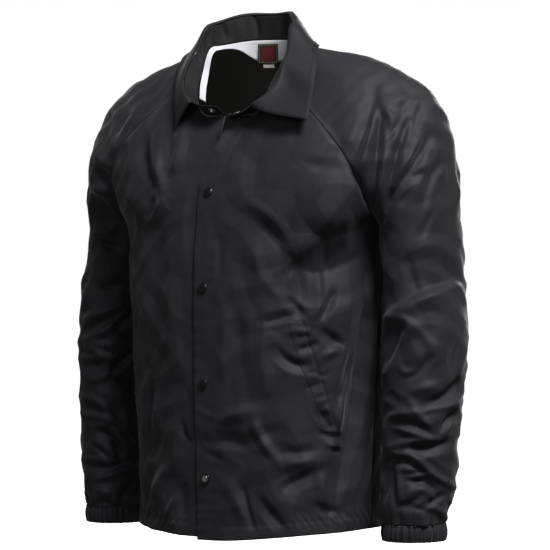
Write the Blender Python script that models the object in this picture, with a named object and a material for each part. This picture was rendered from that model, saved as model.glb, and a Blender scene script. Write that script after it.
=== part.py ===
"""Coach jacket with raglan sleeves, filled out as if worn: thin cloth walls, collar, cuffs, welts and snaps.

Metres, +Z up. The wearer faces -Y and the wearer's left is +X. The origin is at the centre back of the neck.
"""

import math

import bmesh
import bpy
import numpy as np
from mathutils import Vector
from mathutils.bvhtree import BVHTree

# Driving sizes
HEM_LEVEL = -0.745
UNDERARM_LEVEL = -0.290
SIDE_SEAM_Y = 0.012
CUFF_TOP_LEVEL = -0.720
CUFF_EDGE_LEVEL = -0.745
CLOTH = 0.0016
COLLAR_CLOTH = 0.0020
SEAM_GAP = 0.00016
LAY_GAP = 0.0004
OVERLAP = 0.016
UNDER_LAP_DROP = 0.0020
LEFT_HEM_DROP = 0.004
SIDE_HEM_RISE = 0.013
BACK_HEM_RISE = 0.008
RIGHT_SHOULDER_DROP = 0.012
SHOULDER_DROP_TURN = 3.2
HEM_CURVE_HEIGHT = 0.16
HEM_DROP_SHARE = 0.6
TORSO_FULLNESS = 1.04
SNAP_RADIUS = 0.0075
SNAP_LIFT = 0.0004
STAND_SNAP_LIFT = 0.0008
SNAP_PITCH = 0.142
FIRST_CLOSED_SNAP_LEVEL = -0.231
CLOSED_SNAPS = 4

# How far each front edge falls open at the neck, where the top snap is undone
LEFT_OPENING = 0.034
RIGHT_OPENING = 0.015
LEFT_LAPEL_ROLL = 0.012
NECK_TURN_Y = 0.10
NECK_TURN_Z = 0.22

# Torso sections from the hem up to the underarm
TORSO = [
    # level, half_width, front, back
    (-0.745, 0.1970, 0.1360, 0.1310),
    (-0.660, 0.1990, 0.1370, 0.1310),
    (-0.560, 0.2030, 0.1420, 0.1310),
    (-0.460, 0.2075, 0.1450, 0.1310),
    (-0.380, 0.2125, 0.1450, 0.1300),
    (-0.330, 0.2150, 0.1430, 0.1260),
    (-0.290, 0.2200, 0.1390, 0.1280),
]

# Centre front and centre back, from the underarm level (0) to the neck seam (1)
CENTRE_FRONT = [
    # share, y, level
    (0.00, -0.1390, -0.290),
    (0.35, -0.1310, -0.228),
    (0.70, -0.1120, -0.166),
    (1.00, -0.0870, -0.116),
]
CENTRE_BACK = [
    # share, y, level
    (0.00, 0.1280, -0.290),
    (0.30, 0.1270, -0.200),
    (0.60, 0.1100, -0.110),
    (0.85, 0.0700, -0.035),
    (1.00, 0.0400, 0.000),
]

# Raglan seams, from the underarm (0) to the neck seam (1), and the way each body row runs as it meets them
FRONT_SEAM = [
    # share, x, y, level, run_x, run_y, run_z
    (0.00, 0.2200, 0.0120, -0.290, 0.00, 1.00, 0.00),
    (0.16, 0.2270, -0.0360, -0.258, 0.30, 0.95, 0.00),
    (0.34, 0.2255, -0.0690, -0.212, 0.68, 0.72, 0.00),
    (0.55, 0.1970, -0.0815, -0.160, 0.90, 0.42, 0.05),
    (0.78, 0.1360, -0.0715, -0.104, 0.86, 0.48, 0.20),
    (1.00, 0.0730, -0.0500, -0.056, 0.40, 0.75, 0.55),
]
BACK_SEAM = [
    # share, x, y, level, run_x, run_y, run_z
    (0.00, 0.2200, 0.0120, -0.290, 0.00, -1.00, 0.00),
    (0.16, 0.2270, 0.0620, -0.255, 0.35, -0.92, 0.00),
    (0.34, 0.2160, 0.0960, -0.205, 0.80, -0.60, 0.00),
    (0.55, 0.1780, 0.1050, -0.145, 0.93, -0.35, -0.02),
    (0.78, 0.1020, 0.0810, -0.068, 0.90, -0.42, -0.05),
    (1.00, 0.0450, 0.0270, -0.002, 0.75, -0.62, -0.15),
]

# The ridge of each sleeve, over the shoulder from the underarm level (0) to the neck seam (1)
SLEEVE_RIDGE = [
    # share, x, y, level
    (0.00, 0.3219, 0.0380, -0.290),
    (0.16, 0.3205, 0.0430, -0.225),
    (0.34, 0.3130, 0.0450, -0.155),
    (0.50, 0.2960, 0.0400, -0.103),
    (0.66, 0.2540, 0.0270, -0.062),
    (0.82, 0.1850, 0.0120, -0.030),
    (1.00, 0.0760, -0.0130, -0.010),
]
# The way each sleeve row leaves the front seam and reaches the back one
SLEEVE_RUNS = [
    # share, front_x, front_y, front_z, back_x, back_y, back_z
    (0.00, 0.00, -1.00, 0.00, 0.00, -1.00, 0.00),
    (0.16, 0.75, -0.65, 0.00, -0.85, -0.50, 0.00),
    (0.34, 0.97, -0.15, 0.05, -0.95, -0.05, -0.05),
    (0.55, 0.90, 0.30, 0.25, -0.90, 0.30, -0.25),
    (0.78, 0.72, 0.50, 0.45, -0.80, 0.45, -0.20),
    (1.00, 0.30, 0.80, 0.50, -0.60, 0.75, 0.15),
]

CAP_FRONT_FULLNESS = 0.93
CAP_SETTLE_SHARE = 0.40
UNDERARM_SETTLE_HEIGHT = 0.08

# Sleeve sections from the underarm down to the cuff
SLEEVE = [
    # level, centre_x, centre_y, half_width, half_depth
    (-0.290, 0.2712, 0.0360, 0.0507, 0.0750),
    (-0.330, 0.2742, 0.0350, 0.0512, 0.0750),
    (-0.400, 0.2815, 0.0290, 0.0575, 0.0730),
    (-0.470, 0.2835, 0.0260, 0.0600, 0.0690),
    (-0.550, 0.2820, 0.0220, 0.0570, 0.0650),
    (-0.620, 0.2795, 0.0180, 0.0550, 0.0610),
    (-0.670, 0.2775, 0.0140, 0.0530, 0.0580),
    (-0.702, 0.2760, 0.0110, 0.0500, 0.0550),
    (-0.720, 0.2755, 0.0090, 0.0450, 0.0500),
]

# Collar: the height of the stand and its lean out from upright, from centre back (0) to its front ends (1)
STAND = [
    # share, height, lean_degrees
    (0.00, 0.037, 4.0),
    (0.20, 0.038, 5.0),
    (0.46, 0.026, 14.0),
    (0.65, 0.027, 44.0),
    (0.82, 0.027, 56.0),
    (1.00, 0.026, 62.0),
]
LEFT_END_EXTRA_LEAN = 35.0
LEFT_END_SHARE = 0.12
LEFT_SIDE_LESS_LEAN = 14.0
LEFT_SIDE_SHARE = 0.7
LEAF_START = 0.85
LEAF_CLEARANCE = 0.0030
ROLL_RADIUS = 0.0030
ROLL_TURN = 0.7

# The outer edge of the collar leaf, from centre back to the collar point
LEFT_LEAF_EDGE = [
    # share, x, y, level
    (0.00, 0.0000, 0.0780, -0.030),
    (0.28, 0.0620, 0.0540, -0.026),
    (0.50, 0.1130, -0.0020, -0.012),
    (0.76, 0.1420, -0.0580, -0.068),
    (1.00, 0.1620, -0.1050, -0.126),
]
RIGHT_LEAF_EDGE = [
    # share, x, y, level
    (0.00, 0.0000, 0.0780, -0.030),
    (0.28, -0.0640, 0.0560, -0.027),
    (0.50, -0.1220, 0.0020, -0.018),
    (0.76, -0.1080, -0.0640, -0.080),
    (1.00, -0.0760, -0.1040, -0.134),
]

# Slanted pocket: girth from centre front and level of the ends of its mouth
POCKET_TOP = (0.161, -0.421)
POCKET_BOTTOM = (0.212, -0.585)
WELT_WIDTH = 0.020
WELT_CLOTH = 0.0014

# Largest folds of the cloth. Girth runs round the body from centre front, positive on the wearer's left.
BODY_FOLDS = [
    # start_girth, start_level, end_girth, end_level, half_width, height
    (0.225, -0.215, 0.120, -0.335, 0.019, 0.0095),
    (0.245, -0.300, 0.170, -0.345, 0.026, -0.0120),
    (0.255, -0.350, 0.262, -0.560, 0.020, -0.0130),
    (0.262, -0.560, 0.232, -0.735, 0.018, -0.0130),
    (0.215, -0.600, 0.195, -0.730, 0.020, 0.0070),
    (0.120, -0.345, 0.150, -0.470, 0.024, -0.0050),
    (0.050, -0.590, 0.120, -0.650, 0.022, -0.0060),
    (0.130, -0.600, 0.160, -0.720, 0.022, 0.0060),
    (-0.215, -0.210, -0.130, -0.330, 0.022, 0.0070),
    (-0.130, -0.150, -0.110, -0.300, 0.022, -0.0050),
    (-0.200, -0.340, -0.215, -0.720, 0.022, 0.0070),
    (-0.165, -0.380, -0.170, -0.700, 0.022, -0.0060),
    (-0.100, -0.450, -0.085, -0.735, 0.022, 0.0060),
    (-0.262, -0.350, -0.265, -0.700, 0.020, -0.0100),
    (0.330, -0.310, 0.420, -0.480, 0.026, 0.0080),
    (0.325, -0.340, 0.345, -0.740, 0.026, 0.0045),
    (0.400, -0.480, 0.395, -0.740, 0.026, 0.0080),
    (-0.330, -0.310, -0.430, -0.490, 0.026, 0.0080),
    (-0.320, -0.380, -0.350, -0.710, 0.024, -0.0090),
    (-0.400, -0.500, -0.390, -0.740, 0.026, 0.0075),
    (0.470, -0.160, 0.380, -0.330, 0.028, 0.0075),
    (-0.470, -0.150, -0.390, -0.320, 0.028, 0.0075),
    (0.500, -0.250, 0.490, -0.600, 0.030, -0.0070),
]

# Turn runs round the sleeve in degrees from its underarm: front 90, outer side 180 and back 270
LEFT_SLEEVE_FOLDS = [
    # start_turn, start_level, end_turn, end_level, half_width, height
    (62, -0.105, 55, -0.300, 0.021, -0.0130),
    (96, -0.120, 76, -0.290, 0.021, 0.0070),
    (122, -0.120, 100, -0.290, 0.021, -0.0080),
    (150, -0.140, 132, -0.280, 0.021, 0.0055),
    (60, -0.430, 165, -0.370, 0.018, 0.0085),
    (75, -0.470, 130, -0.480, 0.018, -0.0070),
    (150, -0.400, 158, -0.500, 0.020, -0.0050),
    (60, -0.565, 125, -0.580, 0.016, -0.0065),
    (100, -0.610, 175, -0.560, 0.016, 0.0070),
    (118, -0.622, 178, -0.665, 0.016, 0.0070),
    (52, -0.640, 105, -0.650, 0.016, -0.0075),
    (200, -0.200, 235, -0.300, 0.018, -0.0070),
    (300, -0.140, 310, -0.290, 0.018, -0.0120),
    (240, -0.420, 320, -0.460, 0.018, 0.0075),
    (215, -0.500, 300, -0.470, 0.018, -0.0070),
    (220, -0.570, 310, -0.600, 0.016, 0.0070),
    (200, -0.640, 290, -0.620, 0.016, -0.0070),
    (350, -0.540, 320, -0.560, 0.016, 0.0045),
]
RIGHT_SLEEVE_FOLDS = [
    # start_turn, start_level, end_turn, end_level, half_width, height
    (62, -0.115, 55, -0.300, 0.021, -0.0120),
    (112, -0.120, 92, -0.260, 0.021, 0.0060),
    (165, -0.170, 120, -0.270, 0.020, -0.0070),
    (60, -0.300, 140, -0.330, 0.018, -0.0060),
    (60, -0.395, 150, -0.440, 0.018, 0.0085),
    (55, -0.445, 120, -0.480, 0.016, -0.0080),
    (80, -0.510, 165, -0.480, 0.016, 0.0085),
    (60, -0.530, 130, -0.560, 0.016, -0.0080),
    (50, -0.575, 140, -0.600, 0.016, 0.0070),
    (80, -0.630, 170, -0.600, 0.016, -0.0070),
    (90, -0.692, 180, -0.700, 0.016, -0.0090),
    (200, -0.210, 235, -0.310, 0.018, -0.0070),
    (300, -0.150, 310, -0.290, 0.018, -0.0110),
    (240, -0.410, 320, -0.450, 0.018, 0.0075),
    (215, -0.490, 300, -0.470, 0.018, -0.0070),
    (220, -0.560, 310, -0.590, 0.016, 0.0070),
    (200, -0.640, 290, -0.620, 0.016, -0.0070),
]
SLEEVE_FOLD_GIRTH = 0.40
FOLD_END_SHARE = 0.35
SEAM_FADE = 0.018
UNDERARM_FADE_HEIGHT = 0.03
PLACKET_FADE = 0.045

CUFF_GATHERS = 30
CUFF_GATHER_DEPTH = 0.0016
CUFF_SWELL = 0.0012
CUFF_POINTS_PER_GATHER = 2

# Light facing inside the neck: its depth from centre back (0) to its front ends (1)
FACING_DEPTH = [
    # share, depth
    (0.00, 0.046),
    (0.10, 0.042),
    (0.24, 0.016),
    (0.48, 0.011),
    (1.00, 0.010),
]
FACING_CLOTH = 0.0012
FACING_FRONT_START = 0.62
LABEL_MIDDLE = -0.005
LABEL_WIDTH = 0.035
LABEL_LEVELS = (-0.006, -0.036)
TAB_SHARE = 0.55
TAB_LEVELS = (-0.032, -0.043)
LABEL_CLOTH = 0.0008

# Snap halves: radius and height of each step from the middle of the back to the middle of the top
CAP_PROFILE = [
    # radius, height
    (0.0000, 0.0000),
    (SNAP_RADIUS, 0.0000),
    (SNAP_RADIUS, 0.0008),
    (0.0066, 0.0019),
    (0.0042, 0.0026),
    (0.0000, 0.0028),
]
SOCKET_PROFILE = [
    # radius, height
    (0.0000, 0.0000),
    (0.0062, 0.0000),
    (0.0066, 0.0010),
    (0.0056, 0.0018),
    (0.0038, 0.0018),
    (0.0030, 0.0008),
    (0.0000, 0.0008),
]
STUD_PROFILE = [
    # radius, height
    (0.0000, 0.0000),
    (0.0062, 0.0000),
    (0.0062, 0.0008),
    (0.0030, 0.0012),
    (0.0026, 0.0030),
    (0.0016, 0.0036),
    (0.0000, 0.0036),
]

# Mesh density
LAP_COLUMNS = 2
FRONT_COLUMNS = 13
BACK_HALF_COLUMNS = 11
LOWER_ROWS = 16
UPPER_ROWS = 10
SLEEVE_COLUMNS = 20
TUBE_ROWS = 20
STAND_COLUMNS = 40
STAND_ROWS = 2
LEAF_COLUMNS = 34
LEAF_ROWS = 6
ROLL_POINTS = 3
CUFF_ROWS = 3
WELT_ROWS = 12
WELT_COLUMNS = 4
LABEL_ROWS = 3
LABEL_COLUMNS = 5
SNAP_STEPS = 12
FACING_ROWS = 3
FACING_REACH = 5

COLOURS = {
    # name: (red, green, blue, roughness, metallic)
    "nylon": (0.020, 0.020, 0.023, 0.42, 0.0),
    "facing": (0.52, 0.52, 0.57, 0.85, 0.0),
    "label_black": (0.012, 0.011, 0.010, 0.70, 0.0),
    "label_tab": (0.75, 0.68, 0.68, 0.80, 0.0),
    "snap_black": (0.012, 0.012, 0.013, 0.22, 0.6),
    "snap_steel": (0.62, 0.62, 0.60, 0.28, 1.0),
}


def smooth_step(value):
    """0 below 0, 1 above 1, and a soft rise between."""
    clipped = np.clip(value, 0.0, 1.0)
    return clipped * clipped * (3.0 - 2.0 * clipped)


def unit(vectors):
    """Vectors scaled to length 1."""
    vectors = np.asarray(vectors, float)
    return vectors / np.maximum(np.linalg.norm(vectors, axis=-1, keepdims=True), 1e-12)


def read_table(table, at):
    """The columns of a table after its first, read at a value of the first on a smooth curve."""
    rows = np.array(table, float)
    if rows[0, 0] > rows[-1, 0]:
        rows = rows[::-1]
    keys, values = rows[:, 0], rows[:, 1:]
    slopes = np.gradient(values, keys, axis=0)
    index = int(np.clip(np.searchsorted(keys, at) - 1, 0, len(keys) - 2))
    step = keys[index + 1] - keys[index]
    share = min(max((at - keys[index]) / step, 0.0), 1.0)
    return hermite(
        values[index], slopes[index] * step, values[index + 1], slopes[index + 1] * step, np.array([share])
    )[0]


def hermite(start, start_pull, end, end_pull, shares):
    """Points of the cubic curve with these ends and end velocities."""
    t = np.asarray(shares, float)[:, None]
    return (
        (2 * t**3 - 3 * t**2 + 1) * start
        + (t**3 - 2 * t**2 + t) * start_pull
        + (-2 * t**3 + 3 * t**2) * end
        + (t**3 - t**2) * end_pull
    )


def arc(start, start_run, end, end_run, shares, fullness=1.0):
    """A round arc that leaves one point along start_run and reaches the other along end_run."""
    start, end = np.asarray(start, float), np.asarray(end, float)
    start_run, end_run = unit(start_run), unit(end_run)
    turn = math.acos(float(np.clip(start_run @ end_run, -1.0, 1.0)))
    chord = float(np.linalg.norm(end - start))
    pull = chord if turn < 0.01 else chord * 2 * math.tan(turn / 4) / math.sin(turn / 2)
    pull *= fullness
    return hermite(start, start_run * pull, end, end_run * pull, shares)


def mirrored(points):
    """The same points on the other side of the body."""
    return np.asarray(points, float) * np.array([-1.0, 1.0, 1.0])


def lengths_along(points):
    """Distance along a line of points, starting at 0."""
    steps = np.linalg.norm(np.diff(points, axis=0), axis=1)
    return np.concatenate([[0.0], np.cumsum(steps)])


def resampled(points, shares):
    """Points at these shares of a line's whole length."""
    along = lengths_along(points)
    wanted = np.asarray(shares, float) * along[-1]
    return np.stack([np.interp(wanted, along, points[:, k]) for k in range(3)], axis=1)


def grid_normals(grid):
    """Unit normals of a grid of points, row by row."""
    along_row = np.gradient(grid, axis=1)
    across = np.gradient(grid, axis=0)
    return unit(np.cross(along_row, across))


def fold_heights(across, levels, folds):
    """Height of all folds at each point, each a soft ridge or trough along a straight line."""
    total = np.zeros_like(levels)
    for start_a, start_l, end_a, end_l, half_width, height in folds:
        line = np.array([end_a - start_a, end_l - start_l])
        length_squared = float(line @ line)
        share = ((across - start_a) * line[0] + (levels - start_l) * line[1]) / length_squared
        near = np.clip(share, 0.0, 1.0)
        off_a = across - (start_a + near * line[0])
        off_l = levels - (start_l + near * line[1])
        off = np.sqrt(off_a**2 + off_l**2) / half_width
        taper = FOLD_END_SHARE + (1 - FOLD_END_SHARE) * np.sin(math.pi * near)
        total += height * taper * np.exp(-(off**2))
    return total


def edge_fade(grid, fade, sides):
    """1 inside a grid and 0 at the named edges, with a soft change over the fade distance."""
    down = np.stack([lengths_along(grid[:, j]) for j in range(grid.shape[1])], axis=1)
    along = np.stack([lengths_along(row) for row in grid])
    distance = {
        "first_row": down,
        "last_row": down[-1:] - down,
        "first_column": along,
        "last_column": along[:, -1:] - along,
    }
    result = np.ones(grid.shape[:2])
    for side in sides:
        result *= smooth_step(distance[side] / fade)
    return result


def torso_section(level):
    """Half width, front depth and back depth of the torso at a level below the underarm."""
    return read_table(TORSO, level)


def front_row(share_or_level, upper, opening, lapel_roll):
    """One row of the left front, from its front edge round to the side seam or the raglan seam."""
    if upper:
        y, level = read_table(CENTRE_FRONT, share_or_level)
        seam = read_table(FRONT_SEAM, share_or_level)
        end, end_run = seam[:3], seam[3:]
        neck_level = CENTRE_FRONT[-1][2]
        above_snap = (level - FIRST_CLOSED_SNAP_LEVEL) / (neck_level - FIRST_CLOSED_SNAP_LEVEL)
        open_share = float(smooth_step(above_snap))
        neck_turn = share_or_level**3
        start_run = np.array([1.0, NECK_TURN_Y * neck_turn, NECK_TURN_Z * neck_turn])
    else:
        level = share_or_level
        half_width, front, _ = torso_section(level)
        y = -front
        end, end_run = np.array([half_width, SIDE_SEAM_Y, level]), np.array([0.0, 1.0, 0.0])
        open_share = 0.0
        start_run = np.array([1.0, 0.0, 0.0])
    shift = opening * open_share
    edge = np.array([-OVERLAP + shift, y - lapel_roll * open_share, level])
    bend = np.array([OVERLAP + shift, y, level])
    lap = np.linspace(0.0, 1.0, LAP_COLUMNS + 1)[:-1, None] * (bend - edge) + edge
    rest = arc(bend, start_run, end, end_run, np.linspace(0.0, 1.0, FRONT_COLUMNS), TORSO_FULLNESS)
    return np.concatenate([lap, rest])


def front_grid(opening, lapel_roll):
    """Rows of the left front from the hem up to the neck seam."""
    lower = np.linspace(HEM_LEVEL, UNDERARM_LEVEL, LOWER_ROWS)
    upper = np.linspace(0.0, 1.0, UPPER_ROWS + 1)[1:]
    rows = [front_row(level, False, opening, lapel_roll) for level in lower]
    rows += [front_row(share, True, opening, lapel_roll) for share in upper]
    return np.array(rows)


def back_grid():
    """Rows of the whole back from the hem up to the neck seam, from the wearer's left to the right."""
    rows = []
    shares = np.linspace(0.0, 1.0, BACK_HALF_COLUMNS)
    for level in np.linspace(HEM_LEVEL, UNDERARM_LEVEL, LOWER_ROWS):
        half_width, _, back = torso_section(level)
        side = [half_width, SIDE_SEAM_Y, level]
        half = arc([0, back, level], [1, 0, 0], side, [0, -1, 0], shares, TORSO_FULLNESS)
        rows.append(np.concatenate([half[::-1], mirrored(half[1:])]))
    rows += [back_upper_row(share) for share in np.linspace(0.0, 1.0, UPPER_ROWS + 1)[1:]]
    return np.array(rows)


def back_upper_row(share):
    """One row of the back above the underarm, from the left raglan seam to the right one."""
    y, level = read_table(CENTRE_BACK, share)
    seam = read_table(BACK_SEAM, share)
    half = arc([0, y, level], [1, 0, 0], seam[:3], seam[3:], np.linspace(0.0, 1.0, BACK_HALF_COLUMNS))
    return np.concatenate([half[::-1], mirrored(half[1:])])


def cap_row(share, drop=0.0):
    """One open row of the left sleeve, from the front seam over the ridge to the back seam."""
    front = read_table(FRONT_SEAM, share)[:3]
    back = read_table(BACK_SEAM, share)[:3]
    lowered = drop * math.sin(math.pi * share**SHOULDER_DROP_TURN)
    ridge = read_table(SLEEVE_RIDGE, share) - np.array([0.0, 0.0, lowered])
    runs = read_table(SLEEVE_RUNS, share)
    half = SLEEVE_COLUMNS // 2 + 1
    first = arc(front, runs[:3], ridge, [0, 1, 0], np.linspace(0.0, 1.0, half), CAP_FRONT_FULLNESS)
    second = arc(ridge, [0, 1, 0], back, runs[3:], np.linspace(0.0, 1.0, half))
    row = np.concatenate([first, second[1:]])
    settle = 1.0 - float(smooth_step(share / CAP_SETTLE_SHARE))
    if share > 0.0 and settle > 0.0:
        row += settle * (tube_row(UNDERARM_LEVEL) - cap_row(0.0))
    return row


def tube_row(level):
    """One closed row of the left sleeve, from its underarm over the front and the outer side and back."""
    centre_x, centre_y, half_width, half_depth = read_table(SLEEVE, level)
    first_centre_y = read_table(SLEEVE, UNDERARM_LEVEL)[1]
    settle = float(smooth_step((UNDERARM_LEVEL - level) / UNDERARM_SETTLE_HEIGHT))
    inner_y = (SIDE_SEAM_Y - first_centre_y) * (1 - settle) + centre_y
    inner, outer = [centre_x - half_width, inner_y, level], [centre_x + half_width, centre_y, level]
    front, back = [centre_x, centre_y - half_depth, level], [centre_x, centre_y + half_depth, level]
    shares = np.linspace(0.0, 1.0, SLEEVE_COLUMNS // 4 + 1)
    quarters = [
        arc(inner, [0, -1, 0], front, [1, 0, 0], shares),
        arc(front, [1, 0, 0], outer, [0, 1, 0], shares)[1:],
        arc(outer, [0, 1, 0], back, [-1, 0, 0], shares)[1:],
        arc(back, [-1, 0, 0], inner, [0, -1, 0], shares)[1:],
    ]
    return np.concatenate(quarters)


def sleeve_grid(drop):
    """Rows of the left sleeve from the neck seam down to the top of the cuff."""
    cap = [cap_row(share, drop) for share in np.linspace(1.0, 0.0, UPPER_ROWS + 1)[:-1]]
    tube = [tube_row(level) for level in np.linspace(UNDERARM_LEVEL, CUFF_TOP_LEVEL + SEAM_GAP, TUBE_ROWS)]
    return np.array(cap + tube), len(cap)


def pulled_in(grid, gap, sides):
    """The grid with its named edges moved in by half a seam gap along the cloth."""
    moved = grid.copy()
    if "first_column" in sides:
        moved[:, 0] += unit(grid[:, 1] - grid[:, 0]) * gap
    if "last_column" in sides:
        moved[:, -1] += unit(grid[:, -2] - grid[:, -1]) * gap
    if "first_row" in sides:
        moved[0] += unit(grid[1] - grid[0]) * gap
    if "last_row" in sides:
        moved[-1] += unit(grid[-2] - grid[-1]) * gap
    return moved


def make_material(name):
    """A material of one plain colour."""
    red, green, blue, roughness, metallic = COLOURS[name]
    material = bpy.data.materials.new(name)
    material.use_nodes = True
    shader = material.node_tree.nodes["Principled BSDF"]
    shader.inputs["Base Color"].default_value = (red, green, blue, 1.0)
    shader.inputs["Roughness"].default_value = roughness
    shader.inputs["Metallic"].default_value = metallic
    material.diffuse_color = (red, green, blue, 1.0)
    return material


def add_object(name, mesh, material):
    """A named object of this mesh in the jacket's collection."""
    part = bpy.data.objects.new(name, mesh)
    mesh.materials.clear()
    mesh.materials.append(MATERIALS[material])
    JACKET.objects.link(part)
    return part


def wall_normals(grid, outward, closed_from=None):
    """Outward normals of a grid, the same on both sides of the line where its rings close."""
    normals = grid_normals(grid) * (1.0 if outward else -1.0)
    if closed_from is not None:
        shared = unit(normals[closed_from:, 0] + normals[closed_from:, -1])
        normals[closed_from:, 0] = shared
        normals[closed_from:, -1] = shared
    return normals


def add_wall(name, grid, thickness, material, normals, closed_from=None):
    """A cloth wall with the grid as its outer face. Rows from closed_from on are closed rings."""
    rows, columns = grid.shape[:2]
    flipped = (grid_normals(grid) * normals).sum() < 0
    inner = grid - normals * thickness
    points = np.concatenate([grid.reshape(-1, 3), inner.reshape(-1, 3)])
    ids = np.arange(rows * columns).reshape(rows, columns)
    if closed_from is not None:
        ids[closed_from:, -1] = ids[closed_from:, 0]
    faces = []
    for i in range(rows - 1):
        for j in range(columns - 1):
            corners = [int(k) for k in (ids[i, j], ids[i, j + 1], ids[i + 1, j + 1], ids[i + 1, j])]
            unique = list(dict.fromkeys(corners))
            faces.append(unique[::-1] if flipped else unique)
    edges = {(face[k - 1], face[k]) for face in faces for k in range(len(face))}
    behind = rows * columns
    rims = [(b, a, a + behind, b + behind) for a, b in sorted(edges) if (b, a) not in edges]
    backs = [[corner + behind for corner in face[::-1]] for face in faces]
    used = sorted({corner for face in faces + backs for corner in face})
    place = {corner: k for k, corner in enumerate(used)}
    mesh = bpy.data.meshes.new(name)
    mesh.from_pydata(
        [Vector(points[corner]) for corner in used],
        [],
        [[place[corner] for corner in face] for face in faces + backs + rims],
    )
    mesh.validate()
    mesh.shade_smooth()
    return add_object(name, mesh, material)


def seam_normals(table, front):
    """Outward normals of body and sleeve along a raglan seam, shared where the seam is raised."""
    body, sleeve = [], []
    for share in np.linspace(0.0, 1.0, UPPER_ROWS + 1)[1:]:
        ahead = read_table(table, min(share + 0.01, 1.0))[:3] - read_table(table, share - 0.01)[:3]
        body_run = read_table(table, share)[3:]
        runs = read_table(SLEEVE_RUNS, share)
        sleeve_run = runs[:3] if front else -runs[3:]
        sign = 1.0 if front else -1.0
        first = unit(np.cross(body_run, ahead)) * sign
        second = unit(np.cross(sleeve_run, ahead)) * sign
        if (first - second) @ body_run < 0:
            first = second = unit(first + second)
        body.append(first)
        sleeve.append(second)
    return np.array(body), np.array(sleeve)


def front_girths(grid):
    """Girth of each point of a left front grid, measured from centre front."""
    return np.stack([lengths_along(row) - OVERLAP for row in grid])


def hem_curved(grid, girths, side_girth, front_drop):
    """The grid with its hem raised toward the side seam, less at the back, and dropped at the front edge."""
    low = 1.0 - smooth_step((grid[..., 2] - HEM_LEVEL) / HEM_CURVE_HEIGHT)
    share = np.clip(girths / side_girth, 0.0, 2.0)
    rise = np.where(share < 1.0, SIDE_HEM_RISE * smooth_step(share), 0.0)
    behind = BACK_HEM_RISE + (SIDE_HEM_RISE - BACK_HEM_RISE) * (1.0 - smooth_step(share - 1.0))
    rise = np.where(share >= 1.0, behind, rise)
    rise -= front_drop * (1.0 - smooth_step(girths / (side_girth * HEM_DROP_SHARE)))
    moved = grid.copy()
    moved[..., 2] += rise * low
    return moved


def folded_front(grid, side):
    """A left front grid with the folds of that side of the body, 1 for the left and -1 for the right."""
    girths = front_girths(grid)
    heights = fold_heights(side * girths, grid[..., 2], BODY_FOLDS)
    fade = edge_fade(grid, SEAM_FADE, ["first_row", "last_row", "last_column"])
    fade *= smooth_step((girths - OVERLAP) / PLACKET_FADE)
    folded = grid + grid_normals(grid) * (heights * fade)[..., None]
    drop = LEFT_HEM_DROP if side > 0 else 0.0
    return hem_curved(folded, girths, girths[:LOWER_ROWS, -1].mean(), drop)


def dropped_lap(grid):
    """The right front, as a left grid, with its edge dropped to lie under the other front."""
    girths = front_girths(grid)
    drop = UNDER_LAP_DROP * (1.0 - smooth_step((girths - OVERLAP) / PLACKET_FADE))
    return grid - grid_normals(grid) * drop[..., None]


def folded_back(grid):
    """The back grid with its folds, whose girth carries on from the side seams."""
    side_girth = front_girths(front_grid(0.0, 0.0))[:LOWER_ROWS, -1].mean()
    along = np.stack([lengths_along(row) for row in grid])
    middle = along[:, -1:] / 2
    from_middle = along - middle
    to_left = side_girth + (middle + from_middle)
    to_right = -side_girth - (middle - from_middle)
    girths = np.where(from_middle <= 0, to_left, to_right)
    heights = fold_heights(girths, grid[..., 2], BODY_FOLDS)
    fade = edge_fade(grid, SEAM_FADE, ["first_row", "last_row", "first_column", "last_column"])
    folded = grid + grid_normals(grid) * (heights * fade)[..., None]
    return hem_curved(folded, np.abs(girths), side_girth, 0.0)


def folded_sleeve(grid, cap_rows, folds):
    """The left sleeve grid with its folds, measured round the sleeve by turn and down it by level."""
    columns = grid.shape[1]
    turns = np.tile(np.linspace(0.0, 360.0, columns), (grid.shape[0], 1))
    metres_per_degree = SLEEVE_FOLD_GIRTH / 360.0
    scaled = [(a * metres_per_degree, z0, b * metres_per_degree, z1, w, h) for a, z0, b, z1, w, h in folds]
    heights = fold_heights(turns * metres_per_degree, grid[..., 2], scaled)
    cap_fade = edge_fade(grid, SEAM_FADE, ["first_column", "last_column"])
    reach = np.zeros(len(grid))
    reach[cap_rows:] = smooth_step((UNDERARM_LEVEL - grid[cap_rows:, 0, 2]) / UNDERARM_FADE_HEIGHT)
    fade = edge_fade(grid, SEAM_FADE, ["first_row", "last_row"])
    fade *= np.maximum(cap_fade, reach[:, None])
    moved = grid + grid_normals(grid) * (heights * fade)[..., None]
    moved[cap_rows:, -1] = moved[cap_rows:, 0]
    return moved


def neck_line(fronts, sleeve, back):
    """The neck seam from the left front edge round the back to the right front edge."""
    left, right = fronts[0][-1], mirrored(fronts[1][-1])
    ridge = sleeve[0]
    return np.concatenate([left[:-1], ridge[:-1], back[-1][:-1], mirrored(ridge[::-1])[:-1], right[::-1]])


def stand_frame(line, shares):
    """Neck points with the upward and inward ways of the collar stand at each."""
    base = resampled(line, shares)
    along = unit(np.gradient(base, axis=0))
    outward = unit(np.cross(along, [0.0, 0.0, 1.0]))
    upward = []
    heights = []
    for share, out in zip(shares, outward):
        height, lean = read_table(STAND, abs(share - 0.5) * 2)
        left_end = max(0.0, 1.0 - share / LEFT_END_SHARE)
        lean += LEFT_END_EXTRA_LEAN * float(smooth_step(left_end))
        left_side = min(max(0.5 - share, 0.0) * 2 / LEFT_SIDE_SHARE, 1.0)
        lean = math.radians(lean - LEFT_SIDE_LESS_LEAN * math.sin(math.pi * left_side) ** 2)
        upward.append(out * math.sin(lean) + np.array([0.0, 0.0, math.cos(lean)]))
        heights.append(height)
    upward = unit(upward)
    inward = unit(np.cross(upward, along))
    return base, upward, inward, np.array(heights)


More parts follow.
